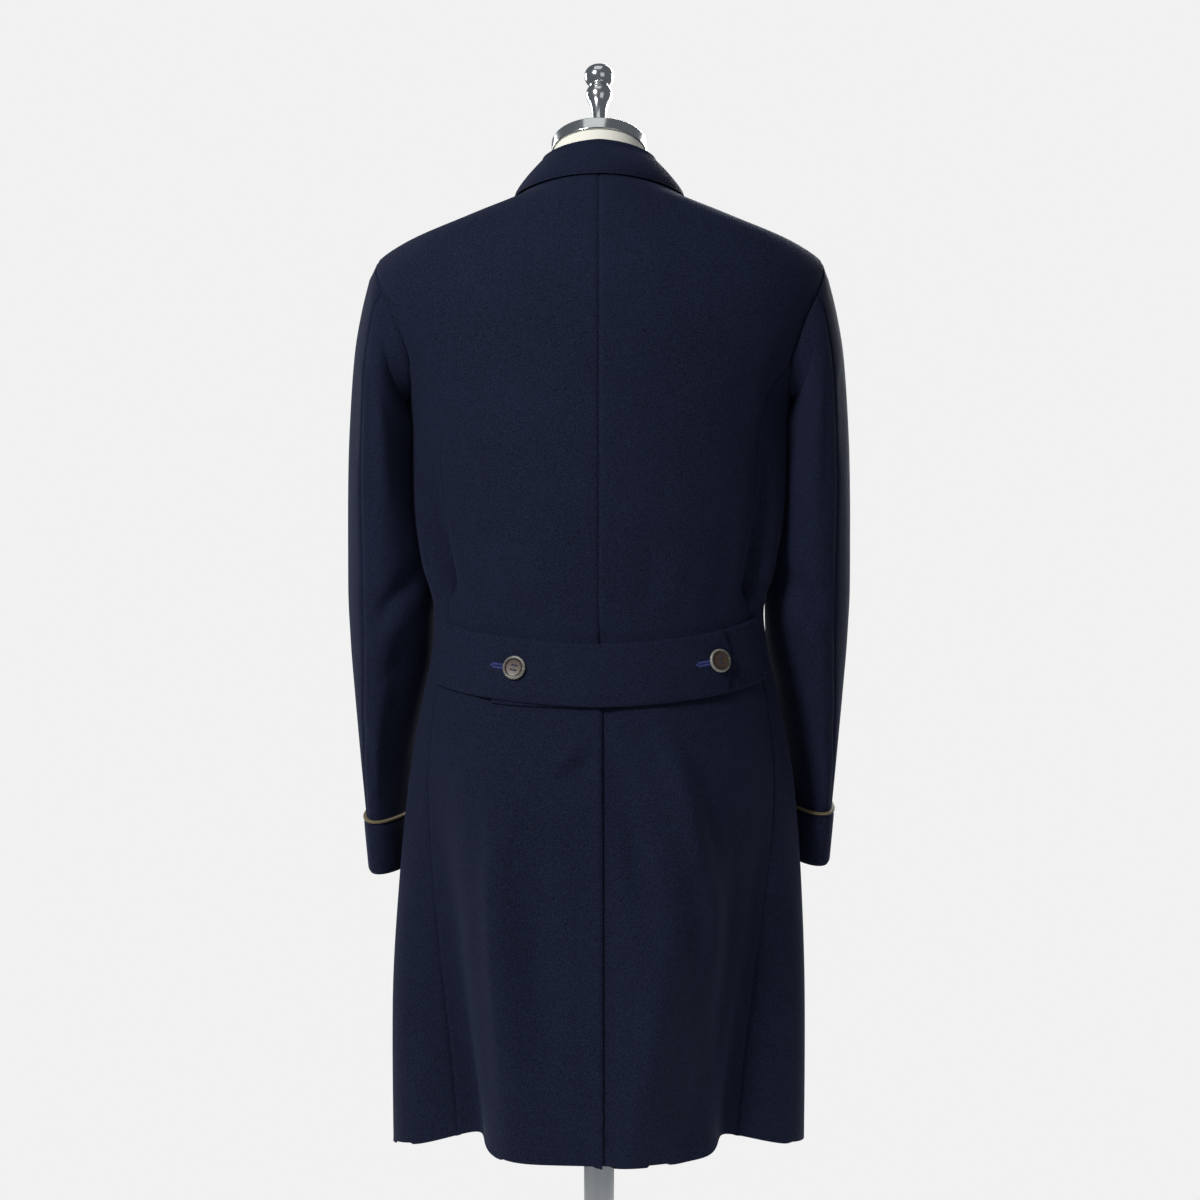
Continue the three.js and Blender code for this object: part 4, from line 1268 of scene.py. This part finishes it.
topstitch, topstitch_pitch, topstitch_off = (3.3, 0.75, 0.42), 4.4, -0.05
edge_in = 0.5 - stitch_in / belt_width
end_in = math.degrees(stitch_in / belt_radius)


def topstitch_belt(name, surface, start, end_turn, seed):
    """The topstitching of a belt piece: a row along each edge, and one across its end."""
    inward = math.copysign(end_in, float(end_turn(np.array(0.0))) - start)
    runs = []
    for v in (-edge_in, edge_in):
        us = np.linspace(start, float(end_turn(np.array(v))) - inward, 200)
        runs.append((us, np.full(200, v)))
    vs = np.linspace(-edge_in, edge_in, 120)
    runs.append((end_turn(vs) - inward, vs))
    rows = [along_line(surface, us, vs, topstitch_pitch, topstitch_off) for us, vs in runs]
    joined = [np.concatenate([row[i] for row in rows]) for i in range(3)]
    pieces[name] = sew(name, *joined, topstitch, "navy", seed)
    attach(pieces[name], "root")
    print(name, len(pieces[name].data.polygons), "faces")


topstitch_belt("belt_over_stitches", over_surface, belt_end, point_turn, 3)
topstitch_belt("belt_under_stitches", under_surface, -belt_end - belt_tuck, under_turn, 5)

# %% [markdown]
# The two buttonholes on the belt are worked in bright blue, the one touch of colour on the coat, and those
# on the front in navy. Each is a straight hole that runs towards the wearer's left from under its button,
# purled along both sides and barred at its end.

# %% Buttonholes
hole_long, hole_half, purl_pitch, purl_off = 25, 1.65, 0.85, 0.15
purl = (3.0, 0.8, 0.55)
bar_from, bar_stitches = 0.5, np.array([0.0, 0.9, 1.8])
button_across, front_radius = 0.02, 135
belt_buttons = {"left": 27.8, "right": -41.5}
front_button_levels = [1075, 970, 865]


def buttonhole(name, surface, u, v, u_per_mm, v_per_mm, thread, seed):
    """A purled buttonhole along u from (u, v), hole_long millimetres long."""
    us = u + u_per_mm * np.linspace(0, hole_long, 60)
    parts = []
    for side in (-hole_half, hole_half):
        vs = np.full(len(us), v + side * v_per_mm)
        places, way, normal = along_line(surface, us, vs, purl_pitch, purl_off)
        parts.append((places, np.cross(normal, way), normal))
    end_u = us[-1] + bar_from * u_per_mm + u_per_mm * bar_stitches
    end_v = np.full(len(end_u), v)
    normal = surface.normal(end_u, end_v)
    way = unit(surface.at(end_u + u_per_mm, end_v) - surface.at(end_u, end_v))
    parts.append((surface.at(end_u, end_v) + purl_off * normal, np.cross(normal, way), normal))
    joined = [np.concatenate([part[i] for part in parts]) for i in range(3)]
    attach(sew(name, *joined, purl, thread, seed), "root")


belt_u_per_mm, front_u_per_mm = math.degrees(1 / belt_radius), math.degrees(1 / front_radius)
belt_v_per_mm = 1 / belt_width
for seed, (side, turn) in enumerate(belt_buttons.items()):
    name = f"belt_buttonhole_{side}"
    buttonhole(name, over_surface, turn, button_across, belt_u_per_mm, belt_v_per_mm, "blue", seed)
for i, level in enumerate(front_button_levels):
    buttonhole(f"front_buttonhole_{i + 1}", front_surface["left"], 180, level, -front_u_per_mm, 1, "navy", i)
print("buttonholes:", len(belt_buttons) + len(front_button_levels))

# %% [markdown]
# The braid on each cuff's upper edge is a flat tan cord. Its ribs lie across it, a little over a millimetre
# apart, and its edges round off, so it catches a thin light along the top.

# %% Tan braid
braid_bottom, braid_top, braid_wall, braid_edge, rib_pitch = 11.09, 11.045, 3, 0.9, 1.3
braid_material, tree = new_material("tan braid")
grain = add_node(tree, "ShaderNodeUVMap", {"uv_map": "grain"})
ribs = add_node(
    tree, "ShaderNodeTexWave", {"wave_type": "BANDS", "bands_direction": "X"}, Vector=grain.outputs[0],
    Scale=wave_scale / (rib_pitch * mm), Distortion=0.6,
)
colour = tones(tree, ribs.outputs["Fac"], (0, "#4d432f"), (1, "#85775a"))
bump = add_node(tree, "ShaderNodeBump", Strength=0.7, Distance=0.4 * mm, Height=ribs.outputs["Fac"])
shader = add_node(tree, "ShaderNodeBsdfPrincipled", Base_Color=colour, Roughness=0.75, Normal=bump.outputs[0])
finish_material(tree, shader)

braid_share = np.linspace(0, 1, 7)
braid_rows = lerp(braid_bottom, braid_top, braid_share)
braid_round = braid_edge * (1 - np.sqrt(np.clip(1 - (2 * braid_share - 1) ** 2, 0, 1)))
for side, surface in sleeve_surfaces.items():
    name = f"cuff_trim_{side}"
    net = [patch(surface, cuff_span, braid_rows, cuff_girth, (False, False))]
    net[0]["sink"] = net[0]["sink"] + braid_round[:, None]
    piece = shell(name, surface, net, braid_material, braid_wall, braid_wall + layer)
    pieces[name] = dress(piece, "trim", name)
print("braid:", len(braid_rows), "rows")

# %% [markdown]
# ## Buttons
#
# Five horn buttons, 24.5 mm across, turned with a raised rim and a shallow dish, with four holes. Horn is
# dark brown in the dish, with streaks. The colour darkens to a ring of painted shade at the foot of the rim
# and pales to a greyish painted highlight on the rim's top and edge. Each is sewn with navy thread in
# two bars.

# %% Horn buttons
button_radius, button_clear, corner_steps = 12.25, 0.6, 6
hole_at, hole_radius, hole_sides, drill_from, drill_to = 2.5, 1.05, 16, -2, 7
button_profile = [(0, 0), (10.8, 0), (button_radius, 1), (button_radius, 2.8), (11.3, 4), (9.8, 4.1),
                  (8.4, 3.1), (0, 2.9)]
button_corner, button_sides = 0.7, 64
front_button_turns = [5, -14, 20]
horn, tree = new_material("horn")
face_map = add_node(tree, "ShaderNodeUVMap", {"uv_map": "grain"})
radius = add_node(tree, "ShaderNodeVectorMath", {"operation": "LENGTH"}, at_0=face_map.outputs[0])
stretched = add_node(tree, "ShaderNodeMapping", Vector=face_map.outputs[0], Scale=(90, 420, 1))
streaks = add_node(
    tree, "ShaderNodeTexNoise", Vector=stretched.outputs[0], Scale=1.0, Detail=3.0, Distortion=0.5
)
shift = scaled(tree, streaks.outputs[0], 0.4, -0.2)
outward = scaled(tree, radius.outputs["Value"], 1 / (button_radius * mm), shift)
# Brown dish, then painted shade in a dark ring at the rim's foot and a greyish painted highlight at its edge.
colour = tones(tree, outward, (0.5, "#4a382d"), (1.0, "#8d8e82"), (0.76, "#2a201c"))
shader = add_node(tree, "ShaderNodeBsdfPrincipled", Base_Color=colour, Roughness=0.32)
shader.inputs["IOR"].default_value = 1.54
finish_material(tree, shader)


def rounded(profile, radius):
    """A profile of (radius, height) pairs with its corners rounded off, as turning leaves them."""
    profile = np.array(profile, float)
    parts = [profile[:1]]
    for before, corner, after in zip(profile, profile[1:], profile[2:]):
        near, far = np.linalg.norm(before - corner), np.linalg.norm(after - corner)
        a = corner + (before - corner) * min(radius, near / 2) / near
        b = corner + (after - corner) * min(radius, far / 2) / far
        t = np.linspace(0, 1, corner_steps)[:, None]
        parts.append((1 - t) ** 2 * a + 2 * t * (1 - t) * corner + t * t * b)
    return np.concatenate(parts + [profile[-1:]])


def lathe(profile, segments):
    """Corners and faces of a body turned about Z; the profile starts and ends on the axis."""
    ring = np.linspace(0, 2 * np.pi, segments, endpoint=False)
    rows = np.array(profile)[1:-1]
    radii, heights = rows[:, :1], rows[:, 1:]
    corners = points(radii * np.cos(ring), radii * np.sin(ring), heights).reshape(-1, 3)
    corners = np.vstack([corners, [0, 0, profile[0][1]], [0, 0, profile[-1][1]]])
    count, last = len(rows), len(corners)
    step = [(i, (i + 1) % segments) for i in range(segments)]
    faces = [
        [r * segments + i, r * segments + j, (r + 1) * segments + j, (r + 1) * segments + i]
        for r in range(count - 1) for i, j in step
    ]
    faces += [[last - 2, j, i] for i, j in step]
    faces += [[last - 1, (count - 1) * segments + i, (count - 1) * segments + j] for i, j in step]
    return corners, faces


def drilled_button():
    """The corners and faces of one button with its four holes."""
    body = make_mesh("button", *lathe(rounded(button_profile, button_corner), button_sides), None, horn)
    drill_profile = [(0, drill_from), (hole_radius, drill_from), (hole_radius, drill_to), (0, drill_to)]
    corners, faces = lathe(drill_profile, hole_sides)
    places = [(x * hole_at, y * hole_at, 0) for x in (-1, 1) for y in (-1, 1)]
    drills = np.vstack([corners + place for place in places])
    every = [[a + i * len(corners) for a in face] for i in range(len(places)) for face in faces]
    drill = make_mesh("drill", drills, every, None, horn)
    cut = body.modifiers.new("holes", "BOOLEAN")
    cut.object, cut.operation, cut.solver = drill, "DIFFERENCE", "EXACT"
    made = bpy.data.meshes.new_from_object(body.evaluated_get(bpy.context.evaluated_depsgraph_get()))
    corners = np.array([tuple(v.co) for v in made.vertices]) / mm
    faces = [tuple(p.vertices) for p in made.polygons]
    bpy.data.objects.remove(body)
    bpy.data.objects.remove(drill)
    return corners, faces


button_corners, button_faces = drilled_button()
thread_bar, thread_height, strand_offsets = (6.4, 0.8, 0.7), 3.05, (-0.62, 0.05, 0.7)


def set_button(name, surface, u, v, turned_by, seed):
    """A button on a surface, turned in its own plane, with its two bars of thread."""
    u, v = np.array([[u], [v]])
    place, normal = surface.moved(u, v, button_clear)[0], surface.normal(u, v)[0]
    side = unit(np.cross(normal, [0, 0, 1.0]))
    up = np.cross(side, normal)
    cosine, sine = math.cos(math.radians(turned_by)), math.sin(math.radians(turned_by))
    axes = np.array([side * cosine + up * sine, up * cosine - side * sine, normal])
    corners = place + button_corners @ axes
    dress(make_mesh(f"{name}_horn", corners, button_faces, button_corners[:, :2], horn), "horn", name)
    strands = np.array([(0, y * hole_at + off, thread_height) for y in (-1, 1) for off in strand_offsets])
    along, up = (np.tile(axis, (len(strands), 1)) for axis in (axes[0], normal))
    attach(sew(f"{name}_thread", place + strands @ axes, along, up, thread_bar, "navy", seed), "root")


set_button("belt_button_left", over_surface, belt_buttons["left"], button_across, 12, 1)
set_button("belt_button_right", over_surface, belt_buttons["right"], button_across, -7, 2)
for i, (level, turned_by) in enumerate(zip(front_button_levels, front_button_turns)):
    set_button(f"front_button_{i + 1}", front_surface["left"], 180, level, turned_by, 3 + i)
print("buttons:", len(belt_buttons) + len(front_button_levels), "of", len(button_faces), "faces each")

# %% [markdown]
# ## The dress form and its stand
#
# The coat stands on a limbless form: shoulders, body and a short neck, covered in cream jersey pulled
# tight, so it shows no seams. A chromed cap closes the neck, slanted forward, and carries a turned finial.
# Below the body a steel pole runs down to a round base.

# %% Jersey, chrome and steel
jersey, tree = new_material("cream jersey")
place = add_node(tree, "ShaderNodeTexCoord")
loops = add_node(tree, "ShaderNodeTexVoronoi", Vector=place.outputs["Object"], Scale=1 / (1.1 * mm))
bump = add_node(tree, "ShaderNodeBump", Strength=0.3, Distance=0.2 * mm, Height=loops.outputs["Distance"])
shader = add_node(
    tree, "ShaderNodeBsdfPrincipled", Base_Color=linear("#efece0"), Roughness=0.9, Normal=bump.outputs[0]
)
shader.inputs["Sheen Weight"].default_value = 0.1
finish_material(tree, shader)


def metal(name, colour, roughness):
    """Polished metal with a faint unevenness in its polish."""
    material, tree = new_material(name)
    place = add_node(tree, "ShaderNodeTexCoord")
    wear = add_node(tree, "ShaderNodeTexNoise", Vector=place.outputs["Object"], Scale=60.0, Detail=3.0)
    rough = add_node(
        tree, "ShaderNodeMath", {"operation": "MULTIPLY_ADD"}, at_0=wear.outputs[0], at_1=0.12,
        at_2=roughness - 0.06,
    )
    shader = add_node(
        tree, "ShaderNodeBsdfPrincipled", Base_Color=linear(colour), Roughness=rough.outputs[0], Metallic=1.0
    )
    finish_material(tree, shader)
    return material


chrome, steel = metal("chrome", "#dadede", 0.16), metal("satin steel", "#9c9fa2", 0.3)

# %% The form
form_bottom, shoulder_end, shoulders_from = 655, 206, 1264
inside_half, inside_deep, inside_drop = 1.5, 2.6, 3.1
neck_top, neck_tilt, cap_wide, cap_tall, cap_rise = 1397, 22.5, 101.6, 14, 3.4
pole_wide, base_wide, base_tall = 32, 330, 22
form_sides, rows_between = 96, 3
form_rings = table(
    "side half deep_back deep_front",
    [
        [form_bottom, 150, 100, 96],
        [719, 162, 110, 106],
        [797, 158, 104, 106],
        [871, 142, 88, 98],
        [960, 156, 94, 108],
        [1060, 178, 108, 118],
        [underarm, 186, 116, 122],
        [1207, 194, 117, 118],
        [shoulders_from, 198, 112, 109],
    ],
)
neck_rings = table("z radius slope", [[1374, 53, 0.15], [1385, 50.5, 0.3], [neck_top, 49, 0.414]])
form_turns = np.linspace(0, 360, form_sides, endpoint=False)
form_sine, form_cosine = np.sin(np.radians(form_turns)), np.cos(np.radians(form_turns))
form_levels = [form_bottom, 719, 797, 871, 915, 960, 1010, 1060, underarm, 1169, 1207, shoulders_from,
               shoulder_tip, 1300, 1312, 1324, 1336, fall_level, 1358, neck_level]


def form_ring(side):
    """A ring of the form: its own sizes up to the shoulders, then just inside the coat."""
    level = np.full_like(form_turns, side)
    if side > shoulders_from:
        half = np.minimum(read(rings, "left", level) - inside_half, shoulder_end)
        back, front = (read(rings, column, level) - inside_deep for column in ("deep_back", "deep_front"))
        drop = inside_drop
    else:
        columns = ("half", "deep_back", "deep_front")
        half, back, front = (read(form_rings, column, level) for column in columns)
        drop = 0
    end = np.where(form_cosine > 0, read(rings, "back", level), read(rings, "front", level))
    height = side + (end - side) * form_cosine**2 - drop
    return points(half * form_sine, form_cosine * np.where(form_cosine > 0, back, front), height)


def neck_ring(z, radius, slope):
    """A ring of the neck, slanted forward."""
    y = radius * form_cosine * math.cos(math.atan(slope))
    return points(radius * form_sine, y, z + y * slope)


neck_rows = [neck_ring(*row) for row in zip(*neck_rings.values())]
form_rows = np.array([form_ring(side) for side in form_levels] + neck_rows)
row_numbers = np.arange(len(form_rows), dtype=float)
stops = np.linspace(0, len(form_rows) - 1, (len(form_rows) - 1) * rows_between + 1)
smooth_rows = np.empty((len(stops),) + form_rows.shape[1:])
for i in range(form_sides):
    for axis in range(3):
        smooth_rows[:, i, axis] = read({"row": row_numbers, "value": form_rows[:, i, axis]}, "value", stops)
form_corners = np.vstack([smooth_rows.reshape(-1, 3), smooth_rows[0].mean(0), smooth_rows[-1].mean(0)])
pairs = [(i, (i + 1) % form_sides) for i in range(form_sides)]
top_row, last = (len(stops) - 1) * form_sides, len(form_corners)
form_faces = [
    [row + j, row + i, row + form_sides + i, row + form_sides + j]
    for row in range(0, top_row, form_sides) for i, j in pairs
]
form_faces += [[last - 2, i, j] for i, j in pairs]
form_faces += [[last - 1, top_row + j, top_row + i] for i, j in pairs]
dress(make_mesh("form", form_corners, form_faces, None, jersey), "form_cover", "form_body")
print("form:", len(form_faces), "faces")

# %% [markdown]
# The turned parts share one lathe. The cap and the finial stand on the slanted neck, so they lean with it.

# %% Neck cap, finial, pole and base
cap_radius, base_radius, pole_radius = cap_wide / 2, base_wide / 2, pole_wide / 2
cap_profile = [(0, 0), (cap_radius - 0.8, 0), (cap_radius, 0.8), (cap_radius, cap_tall - 1.2),
               (cap_radius - 1.2, cap_tall), (cap_radius * 0.6, cap_tall + 2.4), (0, cap_tall + cap_rise)]
finial_profile = [(0, 0), (11, 0), (11.5, 2.5), (8.4, 6), (7.4, 14), (7.4, 30), (9.6, 44), (13.4, 51),
                  (14.5, 56), (13.6, 61), (10.2, 65.5), (9.4, 68), (13, 71), (15.6, 76), (16, 81), (14.4, 86),
                  (9.6, 90), (0, 91.6)]
base_profile = [(0, 0), (base_radius - 4, 0), (base_radius, 3), (base_radius, 7), (base_radius - 6, 11),
                (base_radius * 0.5, 16), (pole_radius + 12, base_tall), (0, base_tall)]
pole_profile = [(0, base_tall + seam), (pole_radius, base_tall + seam), (pole_radius, form_bottom - seam),
                (0, form_bottom - seam)]


def on_neck(corners, along):
    """Corners set on the slanted neck, that far along its axis."""
    cosine, sine = math.cos(math.radians(neck_tilt)), math.sin(math.radians(neck_tilt))
    x, y, z = corners[:, 0], corners[:, 1], corners[:, 2] + along
    return points(x, y * cosine - z * sine, y * sine + z * cosine + neck_top)


def turned_piece(name, profile, radius, material, slot_name, along=None):
    """A turned piece that stands for the solid of the same name."""
    corners, faces = lathe(rounded(profile, radius), form_sides)
    corners = corners if along is None else on_neck(corners, along)
    return dress(make_mesh(f"{name}_turned", corners, faces, None, material), slot_name, name)


turned_piece("neck_cap", cap_profile, 0.8, chrome, "chrome", seam)
turned_piece("finial", finial_profile, 9, chrome, "chrome", seam + cap_tall + cap_rise + seam)
turned_piece("pole", pole_profile, 1, steel, "steel")
turned_piece("base", base_profile, 5, steel, "steel")
print("turned parts: 4")

# %% [markdown]
# ## What the cloth was cut to
#
# Each sheet is stated with the rectangle its pattern piece is cut from, in metres, and the area of what
# shows. The widths are girths round the coat, so the fullness that the folds take up is in them.

# %% Sheets
cuts = {
    "back_left": (0.285, 1.035),
    "back_right": (0.335, 1.035),
    "front_left": (0.47, 1.02),
    "front_right": (0.47, 1.02),
    "collar": (0.47, 0.105),
    "lapel_left": (0.13, 0.26),
    "lapel_right": (0.13, 0.2),
    "belt_over": (0.345, belt_width * mm),
    "belt_under": (0.32, belt_width * mm),
}
for side in ("left", "right"):
    cuts[f"sleeve_upper_{side}"] = (0.24, 0.69)
    cuts[f"sleeve_under_{side}"] = (0.27, 0.6)
    cuts[f"cuff_{side}"] = (0.42, 0.065)
for name, flat in cuts.items():
    print(name, flat, "rectangle", round(flat[0] * flat[1], 4), "shown", round(cut_areas[name], 4))
